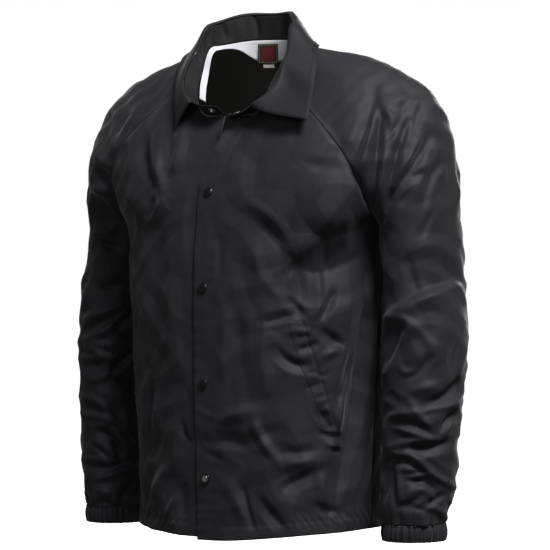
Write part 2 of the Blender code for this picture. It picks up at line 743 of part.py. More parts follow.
def stand_grid(line):
    """The collar stand, from the neck seam up to the roll line."""
    shares = np.linspace(0.0, 1.0, STAND_COLUMNS + 1)
    base, upward, inward, heights = stand_frame(line, shares)
    base = base + inward * LAY_GAP
    rise = np.linspace(0.0, 1.0, STAND_ROWS + 1)[:, None, None]
    lift = LAY_GAP + rise * (heights[:, None] - LAY_GAP * 2.5)
    return base + upward * lift


def leaf_grid(line, surface):
    """The collar leaf, from the roll line out and down over the shoulders, held clear of the panels below."""
    low, high = (1 - LEAF_START) / 2, (1 + LEAF_START) / 2
    shares = np.linspace(low, high, LEAF_COLUMNS + 1)
    base, upward, inward, heights = stand_frame(line, shares)
    top = base + inward * LAY_GAP + upward * (heights[:, None] + SEAM_GAP)
    rows = []
    for k, share in enumerate(shares):
        reach = abs(share - 0.5) * 2 / LEAF_START
        table = LEFT_LEAF_EDGE if share < 0.5 else RIGHT_LEAF_EDGE
        edge = read_table(table, reach)
        start = top[k] + upward[k] * ROLL_RADIUS - inward[k] * ROLL_RADIUS
        down = unit(edge - start)
        turn = arc(top[k], upward[k], start, -inward[k], np.linspace(0.0, 1.0, ROLL_POINTS))
        leaving = unit(down - inward[k] * ROLL_TURN)
        fall = arc(start, leaving, edge, down, np.linspace(0.0, 1.0, LEAF_ROWS)[1:])
        rows.append(np.concatenate([turn, fall]))
    grid = np.array(rows).transpose(1, 0, 2)
    return lifted(grid, surface, COLLAR_CLOTH + LEAF_CLEARANCE)


def lifted(grid, surface, clearance):
    """Grid points moved out where they lie less than the clearance above the panels."""
    moved = grid.copy()
    for index in np.ndindex(grid.shape[:2]):
        point = Vector(grid[index])
        place, normal, _, _ = surface.find_nearest(point)
        height = (point - place).dot(normal)
        if height < clearance:
            moved[index] = place + normal * clearance
    return moved


def surface_of(grids):
    """A search tree over outward-facing panels."""
    points, faces = [], []
    for grid, outward in grids:
        rows, columns = grid.shape[:2]
        first = len(points)
        points += [Vector(p) for p in grid.reshape(-1, 3)]
        for i in range(rows - 1):
            for j in range(columns - 1):
                a = first + i * columns + j
                face = (a, a + 1, a + columns + 1, a + columns)
                faces.append(face if outward else face[::-1])
    return BVHTree.FromPolygons(points, faces)


def cuff_grid():
    """The gathered casing of the left cuff, as a closed ring with small waves all round."""
    count = CUFF_GATHERS * CUFF_POINTS_PER_GATHER
    centre_x, centre_y, half_width, half_depth = read_table(SLEEVE, CUFF_TOP_LEVEL)
    angles = np.linspace(0.0, 2 * math.pi, count + 1)
    rows = []
    for share in np.linspace(0.0, 1.0, CUFF_ROWS):
        level = CUFF_TOP_LEVEL + share * (CUFF_EDGE_LEVEL - CUFF_TOP_LEVEL)
        swell = CUFF_SWELL * math.sin(math.pi * share)
        wave = CUFF_GATHER_DEPTH * np.cos(CUFF_GATHERS * angles) + swell
        x = centre_x - (half_width + wave) * np.cos(angles)
        y = centre_y - (half_depth + wave) * np.sin(angles)
        rows.append(np.stack([x, y, np.full_like(x, level)], axis=1))
    return np.array(rows)


def on_grid(grid, girth, level):
    """A smooth point of a left front grid at this girth and level, found along rows and then between them."""
    girths = front_girths(grid)
    levels = grid[:LOWER_ROWS, 0, 2]
    row = int(np.clip(np.searchsorted(levels, level) - 1, 0, LOWER_ROWS - 2))
    share = (level - levels[row]) / (levels[row + 1] - levels[row])
    ends = [
        np.array([np.interp(girth, girths[k], grid[k, :, axis]) for axis in range(3)])
        for k in (row, row + 1)
    ]
    return ends[0] * (1 - share) + ends[1] * share


def welt_grid(grid):
    """The pocket welt, a strip that lies on the left front beside the slanted mouth."""
    rows = []
    across = np.linspace(1.0, 0.0, WELT_COLUMNS)
    for share in np.linspace(0.0, 1.0, WELT_ROWS):
        mouth_girth = POCKET_TOP[0] + share * (POCKET_BOTTOM[0] - POCKET_TOP[0])
        level = POCKET_TOP[1] + share * (POCKET_BOTTOM[1] - POCKET_TOP[1])
        rows.append([on_grid(grid, mouth_girth - WELT_WIDTH * part, level) for part in across])
    flat = np.array(rows)[::-1]
    outward = grid_normals(flat)
    return flat + outward * (WELT_CLOTH + LAY_GAP * 2)


def turned(name, profile, place, direction, material):
    """A solid of revolution from a profile of (radius, height), standing on a point along a direction."""
    shape = bmesh.new()
    previous = None
    for radius, height in profile:
        if radius == 0.0:
            ring = [shape.verts.new((0.0, 0.0, height))]
        else:
            turns = [2 * math.pi * k / SNAP_STEPS for k in range(SNAP_STEPS)]
            ring = [shape.verts.new((radius * math.cos(a), radius * math.sin(a), height)) for a in turns]
        if previous is not None:
            for k in range(SNAP_STEPS):
                corners = [
                    previous[k % len(previous)],
                    previous[(k + 1) % len(previous)],
                    ring[(k + 1) % len(ring)],
                    ring[k % len(ring)],
                ]
                shape.faces.new(list(dict.fromkeys(corners)))
        previous = ring
    bmesh.ops.recalc_face_normals(shape, faces=shape.faces)
    mesh = bpy.data.meshes.new(name)
    shape.to_mesh(mesh)
    shape.free()
    mesh.shade_smooth()
    part = add_object(name, mesh, material)
    part.location = Vector(place)
    part.rotation_mode = "QUATERNION"
    part.rotation_quaternion = Vector(direction).to_track_quat("Z", "Y")
    return part


def point_along(line, keys, wanted):
    """The point of a line where its key reaches a value."""
    return np.array([np.interp(wanted, keys, line[:, axis]) for axis in range(3)])


def add_snaps(left, stand):
    """Closed snaps down the front edge, and the halves of the open one on the ends of the collar stand."""
    edge, bend = left[:, 0], left[:, LAP_COLUMNS]
    for k in range(CLOSED_SNAPS):
        level = FIRST_CLOSED_SNAP_LEVEL - k * SNAP_PITCH
        centre = point_along(bend, bend[:, 2], level)
        before = point_along(edge, edge[:, 2], level)
        above = point_along(bend, bend[:, 2], level + SNAP_RADIUS)
        outward = unit(np.cross(centre - before, above - centre))
        place = (centre + before) / 2 + outward * SNAP_LIFT
        turned(f"snap_cap_{k + 1}", CAP_PROFILE, place, outward, "snap_black")
    middle = stand[STAND_ROWS // 2]
    along = lengths_along(middle)
    for name, profile, distance, facing, material in (
        ("snap_socket", SOCKET_PROFILE, OVERLAP, 1.0, "snap_steel"),
        ("snap_stud", STUD_PROFILE, along[-1] - OVERLAP, -1.0, "snap_steel"),
        ("snap_cap_0", CAP_PROFILE, OVERLAP, -1.0, "snap_black"),
    ):
        upper = point_along(stand[-1], along, distance)
        lower = point_along(stand[0], along, distance)
        ahead = point_along(middle, along, distance + SNAP_RADIUS / 2)
        behind = point_along(middle, along, distance - SNAP_RADIUS / 2)
        inward = unit(np.cross(upper - lower, ahead - behind))
        offset = COLLAR_CLOTH + STAND_SNAP_LIFT if facing > 0 else STAND_SNAP_LIFT
        turned(name, profile, (upper + lower) / 2 + inward * facing * offset, inward * facing, material)


def facing_grid(left_drop, right_drop):
    """The light strip under the neck seam, from one front round the back of the neck to the other front."""
    shares = np.linspace(1.0, 0.0, UPPER_ROWS + 1)[: FACING_REACH + 1]
    front = np.array([front_row(share, True, RIGHT_OPENING, 0.0) for share in shares])
    start = int(front.shape[1] * FACING_FRONT_START)
    ridge = np.array([cap_row(share, left_drop) for share in shares])
    other_ridge = np.array([cap_row(share, right_drop) for share in shares])
    back = np.array([back_upper_row(share) for share in shares])
    side = np.concatenate([front[:, start:-1], ridge[:, :-1]], axis=1)
    other_front = mirrored(front[:, : start - 1 : -1])
    other_side = np.concatenate([mirrored(other_ridge[:, ::-1])[:, :-1], other_front], axis=1)
    columns = np.concatenate([side, back[:, :-1], other_side], axis=1)
    around = lengths_along(columns[0])
    band = []
    for j in range(columns.shape[1]):
        share = abs(around[j] / around[-1] - 0.5) * 2
        depth = read_table(FACING_DEPTH, share)[0]
        along = lengths_along(columns[:, j])
        wanted = np.linspace(LAY_GAP, depth, FACING_ROWS + 1)
        band.append([[np.interp(d, along, columns[:, j, axis]) for axis in range(3)] for d in wanted])
    grid = np.array(band).transpose(1, 0, 2)
    return grid + grid_normals(grid) * (CLOTH + LAY_GAP * 2.5)


def hung_patch(surface, middle, width, levels, lift):
    """A small patch stitched in at its top edge, inside the back neck, that hangs straight down."""
    rows = []
    for level in np.linspace(levels[0], levels[1], LABEL_ROWS):
        row = []
        for x in np.linspace(middle - width / 2, middle + width / 2, LABEL_COLUMNS):
            place, _, _, _ = surface.ray_cast(Vector((x, 0.0, levels[0])), Vector((0.0, 1.0, 0.0)))
            row.append((x, place.y - lift, level))
        rows.append(row)
    return np.array(rows)


def tab_below(label):
    """The small tab that hangs from behind the lower edge of the label."""
    middle = label[0, :, 0].mean()
    row = label[0].copy()
    row[:, 0] = middle + (row[:, 0] - middle) * TAB_SHARE
    row[:, 1] = np.interp(row[:, 0], label[0, :, 0], label[0, :, 1]) + LABEL_CLOTH + LAY_GAP
    return np.array([np.column_stack([row[:, :2], np.full(len(row), level)]) for level in TAB_LEVELS])


def build():
    """Makes every piece of the jacket."""
    left_flat = front_grid(LEFT_OPENING, LEFT_LAPEL_ROLL)
    right_flat = front_grid(RIGHT_OPENING, 0.0)
    back_flat = back_grid()
    left_sleeve, cap_rows = sleeve_grid(0.0)
    right_sleeve, _ = sleeve_grid(RIGHT_SHOULDER_DROP)
    seams = ["last_column", "last_row"]
    left = pulled_in(folded_front(left_flat, 1), SEAM_GAP, seams)
    right = pulled_in(dropped_lap(folded_front(right_flat, -1)), SEAM_GAP, seams)
    back = pulled_in(folded_back(back_flat), SEAM_GAP, ["first_column", "last_column", "last_row"])
    body_front, sleeve_front = seam_normals(FRONT_SEAM, True)
    body_back, sleeve_back = seam_normals(BACK_SEAM, False)
    side = np.array([1.0, 0.0, 0.0])
    as_made, turned_over = np.ones(3), np.array([-1.0, 1.0, 1.0])
    for name, grid, turn in (("front_left", left, as_made), ("front_right", right, turned_over)):
        normals = wall_normals(grid, True)
        normals[:LOWER_ROWS, -1] = side
        normals[LOWER_ROWS:, -1] = body_front
        add_wall(name, grid * turn, CLOTH, "nylon", normals * turn)
    normals = wall_normals(back, True)
    normals[:LOWER_ROWS, 0] = side
    normals[:LOWER_ROWS, -1] = -side
    normals[LOWER_ROWS:, 0] = body_back
    normals[LOWER_ROWS:, -1] = mirrored(body_back)
    add_wall("back", back, CLOTH, "nylon", normals)
    for name, flat, folds, turn in (
        ("left", left_sleeve, LEFT_SLEEVE_FOLDS, as_made),
        ("right", right_sleeve, RIGHT_SLEEVE_FOLDS, turned_over),
    ):
        sleeve = folded_sleeve(flat, cap_rows, folds)
        cap = pulled_in(sleeve[:cap_rows], SEAM_GAP, ["first_row", "first_column", "last_column"])
        sleeve = np.concatenate([cap, sleeve[cap_rows:]])
        normals = wall_normals(sleeve, False, cap_rows)
        normals[:cap_rows, 0] = sleeve_front[::-1]
        normals[:cap_rows, -1] = sleeve_back[::-1]
        add_wall(f"sleeve_{name}", sleeve * turn, CLOTH, "nylon", normals * turn, cap_rows)
        cuff = cuff_grid()
        add_wall(f"cuff_{name}", cuff * turn, CLOTH, "nylon", wall_normals(cuff, False, 0) * turn, 0)
    line = neck_line((left_flat, right_flat), left_sleeve, back_flat)
    stand = stand_grid(line)
    stand_normals = wall_normals(stand, True)
    add_wall("collar_stand", stand, COLLAR_CLOTH, "nylon", stand_normals)
    panels = surface_of(
        [
            (left, True),
            (mirrored(right), False),
            (back, True),
            (left_sleeve, False),
            (mirrored(right_sleeve), True),
        ]
    )
    leaf = leaf_grid(line, panels)
    leaf_normals = wall_normals(leaf, True)
    first = (STAND_COLUMNS - LEAF_COLUMNS) // 2
    leaf_normals[0] = stand_normals[-1, first : first + LEAF_COLUMNS + 1]
    add_wall("collar_leaf", leaf, COLLAR_CLOTH, "nylon", leaf_normals)
    add_snaps(left, stand)
    for name, grid, turn in (("welt_left", left, as_made), ("welt_right", right, turned_over)):
        welt = welt_grid(grid)
        add_wall(name, welt * turn, WELT_CLOTH, "nylon", wall_normals(welt, True) * turn)
    facing = facing_grid(0.0, RIGHT_SHOULDER_DROP)
    add_wall("neck_facing", facing, FACING_CLOTH, "facing", wall_normals(facing, False))
    behind = surface_of([(facing, False)])
    label_lift = FACING_CLOTH + LAY_GAP * 2 + LABEL_CLOTH
    label = hung_patch(behind, LABEL_MIDDLE, LABEL_WIDTH, LABEL_LEVELS, label_lift)
    add_wall("neck_label", label, LABEL_CLOTH, "label_black", wall_normals(label, False))
    tab = tab_below(label)
    add_wall("size_tab", tab, LABEL_CLOTH, "label_tab", wall_normals(tab, False))


for old in list(bpy.data.objects):
    bpy.data.objects.remove(old)
JACKET = bpy.data.collections.new("coach_jacket")
bpy.context.scene.collection.children.link(JACKET)
MATERIALS = {name: make_material(name) for name in COLOURS}
build()
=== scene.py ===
"""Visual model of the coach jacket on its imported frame: creased cloth, stitching, collar, cuffs and snaps.

Metres, +Z up. The wearer faces -Y and the wearer's left is +X, as in the CAD model.
"""

import math

import bpy
import numpy as np
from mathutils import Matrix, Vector
from mathutils.bvhtree import BVHTree


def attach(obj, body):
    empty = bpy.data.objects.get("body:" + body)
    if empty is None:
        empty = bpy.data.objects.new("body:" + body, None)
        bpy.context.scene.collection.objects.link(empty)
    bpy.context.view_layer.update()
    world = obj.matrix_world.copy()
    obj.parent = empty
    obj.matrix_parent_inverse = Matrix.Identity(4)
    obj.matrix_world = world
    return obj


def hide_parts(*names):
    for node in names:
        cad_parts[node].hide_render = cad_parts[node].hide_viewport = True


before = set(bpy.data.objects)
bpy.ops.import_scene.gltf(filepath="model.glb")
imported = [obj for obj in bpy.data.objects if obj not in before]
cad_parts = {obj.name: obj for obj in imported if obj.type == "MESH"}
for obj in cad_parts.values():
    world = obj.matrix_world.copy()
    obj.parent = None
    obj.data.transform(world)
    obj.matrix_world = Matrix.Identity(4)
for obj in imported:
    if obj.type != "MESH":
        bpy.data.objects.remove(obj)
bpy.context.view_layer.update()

# Driving sizes, the same as the CAD model's
HEM_LEVEL = -0.745
UNDERARM_LEVEL = -0.290
SIDE_SEAM_Y = 0.012
CUFF_TOP_LEVEL = -0.720
CUFF_EDGE_LEVEL = -0.745
SEAM_GAP = 0.00016
LAY_GAP = 0.0004
OVERLAP = 0.016
UNDER_LAP_DROP = 0.0020
LEFT_HEM_DROP = 0.004
SIDE_HEM_RISE = 0.013
BACK_HEM_RISE = 0.008
RIGHT_SHOULDER_DROP = 0.012
SHOULDER_DROP_TURN = 3.2
HEM_CURVE_HEIGHT = 0.16
SNAP_PITCH = 0.142
FIRST_CLOSED_SNAP_LEVEL = -0.231
CLOSED_SNAPS = 4
LEFT_OPENING = 0.034
RIGHT_OPENING = 0.015
LEFT_LAPEL_ROLL = 0.012
CAP_FRONT_FULLNESS = 0.93
CAP_SETTLE_SHARE = 0.40
TUBE_SETTLE_DEPTH = 0.08
PANEL_FULLNESS = 1.04

TORSO = [
    # level, half_width, front, back
    (-0.745, 0.1970, 0.1360, 0.1310),
    (-0.660, 0.1990, 0.1370, 0.1310),
    (-0.560, 0.2030, 0.1420, 0.1310),
    (-0.460, 0.2075, 0.1450, 0.1310),
    (-0.380, 0.2125, 0.1450, 0.1300),
    (-0.330, 0.2150, 0.1430, 0.1260),
    (-0.290, 0.2200, 0.1390, 0.1280),
]
CENTRE_FRONT = [
    # share, y, level
    (0.00, -0.1390, -0.290),
    (0.35, -0.1310, -0.228),
    (0.70, -0.1120, -0.166),
    (1.00, -0.0870, -0.116),
]
CENTRE_BACK = [
    # share, y, level
    (0.00, 0.1280, -0.290),
    (0.30, 0.1270, -0.200),
    (0.60, 0.1100, -0.110),
    (0.85, 0.0700, -0.035),
    (1.00, 0.0400, 0.000),
]
FRONT_SEAM = [
    # share, x, y, level, run_x, run_y, run_z
    (0.00, 0.2200, 0.0120, -0.290, 0.00, 1.00, 0.00),
    (0.16, 0.2270, -0.0360, -0.258, 0.30, 0.95, 0.00),
    (0.34, 0.2255, -0.0690, -0.212, 0.68, 0.72, 0.00),
    (0.55, 0.1970, -0.0815, -0.160, 0.90, 0.42, 0.05),
    (0.78, 0.1360, -0.0715, -0.104, 0.86, 0.48, 0.20),
    (1.00, 0.0730, -0.0500, -0.056, 0.40, 0.75, 0.55),
]
BACK_SEAM = [
    # share, x, y, level, run_x, run_y, run_z
    (0.00, 0.2200, 0.0120, -0.290, 0.00, -1.00, 0.00),
    (0.16, 0.2270, 0.0620, -0.255, 0.35, -0.92, 0.00),
    (0.34, 0.2160, 0.0960, -0.205, 0.80, -0.60, 0.00),
    (0.55, 0.1780, 0.1050, -0.145, 0.93, -0.35, -0.02),
    (0.78, 0.1020, 0.0810, -0.068, 0.90, -0.42, -0.05),
    (1.00, 0.0450, 0.0270, -0.002, 0.75, -0.62, -0.15),
]
SLEEVE_RIDGE = [
    # share, x, y, level
    (0.00, 0.3219, 0.0380, -0.290),
    (0.16, 0.3205, 0.0430, -0.225),
    (0.34, 0.3130, 0.0450, -0.155),
    (0.50, 0.2960, 0.0400, -0.103),
    (0.66, 0.2540, 0.0270, -0.062),
    (0.82, 0.1850, 0.0120, -0.030),
    (1.00, 0.0760, -0.0130, -0.010),
]
SLEEVE_RUNS = [
    # share, front_x, front_y, front_z, back_x, back_y, back_z
    (0.00, 0.00, -1.00, 0.00, 0.00, -1.00, 0.00),
    (0.16, 0.75, -0.65, 0.00, -0.85, -0.50, 0.00),
    (0.34, 0.97, -0.15, 0.05, -0.95, -0.05, -0.05),
    (0.55, 0.90, 0.30, 0.25, -0.90, 0.30, -0.25),
    (0.78, 0.72, 0.50, 0.45, -0.80, 0.45, -0.20),
    (1.00, 0.30, 0.80, 0.50, -0.60, 0.75, 0.15),
]
SLEEVE = [
    # level, centre_x, centre_y, half_width, half_depth
    (-0.290, 0.2712, 0.0360, 0.0507, 0.0750),
    (-0.330, 0.2742, 0.0350, 0.0512, 0.0750),
    (-0.400, 0.2815, 0.0290, 0.0575, 0.0730),
    (-0.470, 0.2835, 0.0260, 0.0600, 0.0690),
    (-0.550, 0.2820, 0.0220, 0.0570, 0.0650),
    (-0.620, 0.2795, 0.0180, 0.0550, 0.0610),
    (-0.670, 0.2775, 0.0140, 0.0530, 0.0580),
    (-0.702, 0.2760, 0.0110, 0.0500, 0.0550),
    (-0.720, 0.2755, 0.0090, 0.0450, 0.0500),
]
STAND = [
    # share, height, lean_degrees
    (0.00, 0.037, 4.0),
    (0.20, 0.038, 5.0),
    (0.46, 0.026, 14.0),
    (0.65, 0.027, 44.0),
    (0.82, 0.027, 56.0),
    (1.00, 0.026, 62.0),
]
LEFT_END_EXTRA_LEAN = 35.0
LEFT_END_SHARE = 0.12
LEFT_SIDE_LESS_LEAN = 14.0
LEFT_SIDE_SHARE = 0.7
LEAF_START = 0.85
ROLL_RADIUS = 0.0030
LEFT_LEAF_EDGE = [
    # share, x, y, level
    (0.00, 0.0000, 0.0780, -0.030),
    (0.28, 0.0620, 0.0540, -0.026),
    (0.50, 0.1130, -0.0020, -0.012),
    (0.76, 0.1420, -0.0580, -0.068),
    (1.00, 0.1620, -0.1050, -0.126),
]
RIGHT_LEAF_EDGE = [
    # share, x, y, level
    (0.00, 0.0000, 0.0780, -0.030),
    (0.28, -0.0640, 0.0560, -0.027),
    (0.50, -0.1220, 0.0020, -0.018),
    (0.76, -0.1080, -0.0640, -0.080),
    (1.00, -0.0760, -0.1040, -0.134),
]
POCKET_TOP = (0.161, -0.421)
POCKET_BOTTOM = (0.212, -0.585)
WELT_WIDTH = 0.020
FACING_CLOTH = 0.0012
LABEL_MIDDLE = -0.005
LABEL_WIDTH = 0.035
LABEL_LEVELS = (-0.006, -0.036)
TAB_SHARE = 0.55
TAB_LEVELS = (-0.032, -0.043)
LABEL_CLOTH = 0.0008

# Sizes of the visible cloth that differ from the CAD model's or have no part in it
CLOTH = 0.0010
COLLAR_CLOTH = 0.0016
LEAF_CLEARANCE = 0.0022
LEAF_LEAST_CLEARANCE = 0.0016
COLLAR_SMOOTHING = 6
FACING_SMOOTHING = 4
WELT_CLOTH = 0.0005
CUFF_CLOTH = 0.0012
SNAP_LIFT = 0.0002
FACING_LIFT = 0.0030
NEAR_FACING_LEAN = 5.0
FACING_ENDS = (0.26, 0.87)
LABEL_LIFT = 0.0024
WELT_LENGTH = 0.17
WELT_LIFT = 0.0003
WELT_EDGE_FALL = 0.00025
WELT_SWELL = 0.0002
WELT_PUCKER_HEIGHT = 0.0001
FACING = [
    # share, depth, lean_degrees
    (0.00, 0.034, -6.0),
    (0.08, 0.032, -6.0),
    (0.20, 0.011, 8.0),
    (0.45, 0.011, 50.0),
    (0.75, 0.011, 60.0),
    (1.00, 0.009, 60.0),
]

# Turned profiles of the snaps, from the cloth up
CAP_PROFILE = [
    # radius, height
    (0.0, 0.0), (0.0075, 0.0), (0.0078, 0.0004), (0.0078, 0.0009), (0.0074, 0.0015), (0.0064, 0.0021),
    (0.0048, 0.0026), (0.0026, 0.0029), (0.0, 0.0030),
]
SOCKET_PROFILE = [
    # radius, height
    (0.0, 0.0), (0.0064, 0.0), (0.0068, 0.0006), (0.0064, 0.0014), (0.0056, 0.0019), (0.0045, 0.0019),
    (0.0038, 0.0014), (0.0032, 0.0008), (0.0, 0.0007),
]
STUD_PROFILE = [
    # radius, height
    (0.0, 0.0), (0.0064, 0.0), (0.0065, 0.0005), (0.0058, 0.0010), (0.0034, 0.0012), (0.0028, 0.0018),
    (0.0030, 0.0029), (0.0022, 0.0036), (0.0, 0.0037),
]
CENTRE_PROFILE = [
    # radius, height
    (0.0, 0.0022), (0.0050, 0.0022), (0.0050, 0.0028), (0.0042, 0.0032), (0.0, 0.0034),
]

# Mesh density of the visible cloth
LAP_POINTS = 12
FRONT_COLUMNS = 140
BACK_HALF_COLUMNS = 78
LOWER_ROWS = 180
UPPER_ROWS = 90
SLEEVE_COLUMNS = 144
TUBE_ROWS = 180
STAND_COLUMNS = 160
STAND_ROWS = 14
LEAF_COLUMNS = 136
LEAF_ROWS = 34
CUFF_GATHERS = 34
CUFF_ROWS = 15
POINTS_PER_GATHER = 8
WELT_ROWS = 90
WELT_COLUMNS = 14
FACING_COLUMNS = 120
FACING_ROWS = 12
PATCH_ROWS = 25
PATCH_COLUMNS = 29
TAB_ROWS = 8

# The studio: lights aimed at the jacket's middle, and a floor under a dome
LIGHT_AIM = (0.0, 0.0, -0.34)
LIGHTS = [
    # name, azimuth, elevation, distance, width, height, power
    ("key", 62.0, 50.0, 3.6, 1.1, 1.1, 134.0),
    ("fill", 12.0, 22.0, 2.8, 0.9, 0.9, 5.0),
    ("rim_left", -115.0, 8.0, 2.4, 0.3, 1.4, 0.5),
    ("side", 115.0, 40.0, 2.8, 0.8, 0.8, 3.0),
    ("back", 190.0, 16.0, 3.6, 1.0, 1.0, 100.0),
]
FLOOR_LEVEL = -0.95
FLOOR_HALF_SIZE = 20
DOME_RADIUS = 18.0
DOME_RINGS = 12

# The photo's camera, found by laying the CAD model over the photo
PHOTO_SIZE = 550
CAMERA_AZIMUTH = 35.0
CAMERA_DISTANCE = 5.6
CAMERA_LEVEL = -0.21
FOCAL_PX = 3696.0
AXIS_PX = 258.0
HORIZON_PX = 178.0

# Creases that the photo shows, drawn on it in pixels from start over middle to end. side_a is the width on
# the left hand of someone who walks from start to end on the picture, and side_b that on the right hand.
# Height is in millimetres, + is a ridge. The columns of all six tables:
# start_px, start_py, middle_px, middle_py, end_px, end_py, side_a, side_b, height
FRONT_LEFT_CREASES = [
    (364, 176, 330, 212, 290, 260, 34, 38, 8.5),
    (292, 258, 326, 272, 384, 244, 44, 36, -9.5),
    (330, 222, 327, 246, 330, 272, 5, 6, -2.5),
    (352, 196, 345, 222, 352, 250, 9, 9, 1.5),
    (370, 262, 360, 388, 334, 508, 7, 16, -8.0),
    (376, 330, 368, 430, 350, 520, 10, 8, 3.0),
    (353, 352, 347, 378, 340, 402, 5, 7, -4.0),
    (346, 385, 342, 412, 338, 438, 5, 5, 3.0),
    (316, 250, 320, 285, 317, 312, 7, 9, 2.5),
    (292, 262, 300, 284, 300, 306, 8, 8, -2.5),
    (338, 290, 330, 306, 320, 320, 5, 6, -4.0),
    (262, 324, 282, 318, 304, 314, 8, 5, -3.5),
    (286, 300, 295, 306, 306, 318, 5, 8, -3.5),
    (274, 342, 289, 362, 316, 366, 6, 9, -4.5),
    (270, 330, 278, 352, 292, 372, 8, 9, 2.0),
    (298, 350, 308, 348, 318, 342, 4, 5, -2.5),
    (284, 334, 298, 330, 312, 334, 4, 5, 2.0),
    (320, 330, 334, 340, 346, 348, 7, 8, -4.0),
    (322, 358, 332, 352, 344, 347, 5, 6, 2.5),
    (306, 389, 315, 386, 326, 382, 3, 3, -2.0),
    (316, 372, 322, 376, 328, 372, 3, 3, -1.5),
    (316, 408, 324, 418, 333, 430, 7, 8, -3.5),
    (318, 432, 332, 437, 346, 436, 4, 4, -2.0),
    (326, 444, 336, 446, 346, 445, 3, 4, 1.8),
    (330, 452, 338, 451, 347, 456, 4, 4, -2.0),
    (190, 443, 220, 442, 248, 446, 12, 7, -3.5),
    (212, 428, 236, 414, 262, 412, 8, 10, 2.5),
    (244, 446, 262, 436, 286, 430, 10, 10, -2.0),
    (254, 418, 262, 440, 280, 464, 6, 7, 3.2),
    (282, 492, 298, 481, 318, 474, 7, 10, -4.0),
    (276, 470, 300, 463, 330, 462, 10, 8, 2.5),
    (282, 448, 296, 454, 316, 448, 8, 8, -2.5),
    (242, 486, 246, 506, 254, 532, 4, 5, -2.8),
    (258, 498, 270, 514, 284, 530, 7, 9, -3.2),
    (226, 480, 236, 500, 246, 522, 8, 9, 2.0),
    (296, 500, 290, 514, 292, 530, 9, 9, 2.2),
    (312, 505, 330, 512, 346, 516, 6, 6, -2.2),
    (320, 470, 324, 492, 326, 515, 9, 9, 2.5),
    (196, 404, 204, 413, 214, 418, 4, 5, 2.0),
    (192, 445, 206, 452, 222, 462, 4, 5, -2.2),
    (230, 119, 216, 136, 202, 158, 5, 6, 3.2),
    (246, 118, 234, 130, 222, 146, 6, 6, -5.0),
    (224, 124, 214, 130, 206, 136, 3, 4, -2.2),
    (222, 128, 212, 136, 205, 140, 3, 3, 1.5),
    (213, 140, 207, 146, 200, 148, 3, 4, -2.0),
    (258, 146, 254, 170, 252, 196, 12, 12, -1.8),
    (284, 128, 262, 142, 244, 170, 14, 12, -2.2),
    (340, 132, 318, 148, 300, 168, 12, 20, 2.6),
    (342, 164, 320, 166, 300, 160, 8, 8, -1.8),
    (270, 206, 284, 232, 296, 256, 8, 10, 1.4),
    (246, 205, 262, 210, 282, 232, 7, 9, 1.8),
    (262, 222, 276, 236, 284, 246, 8, 8, -1.8),
    (252, 236, 262, 276, 286, 302, 9, 9, 1.2),
    (240, 246, 246, 290, 262, 326, 14, 12, -1.8),
    (212, 226, 218, 254, 214, 286, 7, 8, -2.0),
    (204, 214, 208, 230, 207, 262, 6, 6, 1.5),
    (218, 290, 224, 330, 222, 372, 9, 8, 2.0),
    (238, 300, 240, 350, 250, 408, 10, 10, -2.0),
    (266, 318, 262, 356, 270, 400, 10, 9, 2.0),
    (300, 196, 290, 216, 286, 240, 10, 9, -1.8),
    (322, 190, 310, 206, 304, 224, 7, 8, -1.5),
    (226, 340, 232, 372, 228, 402, 9, 9, -1.6),
]
FRONT_RIGHT_CREASES = [
    (172, 112, 169, 146, 168, 184, 7, 9, -3.0),
    (148, 126, 145, 158, 156, 190, 6, 9, -3.5),
    (154, 140, 158, 172, 166, 196, 6, 7, 2.6),
    (168, 200, 158, 208, 146, 226, 12, 8, 3.2),
    (150, 196, 152, 208, 146, 220, 6, 7, -3.0),
    (138, 124, 132, 150, 130, 176, 8, 8, 2.4),
    (124, 140, 122, 160, 124, 190, 8, 8, -2.4),
    (186, 124, 178, 150, 176, 176, 8, 8, 2.2),
    (190, 186, 184, 220, 186, 270, 8, 9, 1.6),
    (160, 232, 156, 280, 158, 330, 14, 12, -1.8),
    (172, 250, 170, 310, 172, 372, 12, 12, 2.0),
    (146, 246, 146, 300, 150, 352, 8, 9, 2.4),
    (148, 366, 145, 396, 144, 434, 4, 4, 2.6),
    (152, 378, 150, 404, 149, 440, 4, 4, -2.0),
    (158, 380, 156, 408, 158, 436, 6, 6, 1.8),
    (160, 430, 156, 446, 150, 462, 6, 8, -3.0),
    (168, 466, 159, 484, 153, 508, 6, 7, 4.0),
    (152, 470, 146, 490, 145, 512, 6, 6, -3.0),
    (177, 494, 172, 506, 167, 518, 4, 4, 2.6),
    (186, 482, 182, 500, 182, 520, 5, 5, -2.4),
    (184, 388, 190, 404, 187, 424, 4, 4, -1.8),
    (181, 420, 186, 438, 198, 450, 4, 4, -2.2),
    (174, 400, 174, 440, 178, 480, 9, 9, 1.8),
    (120, 226, 130, 264, 138, 306, 7, 7, 2.0),
]
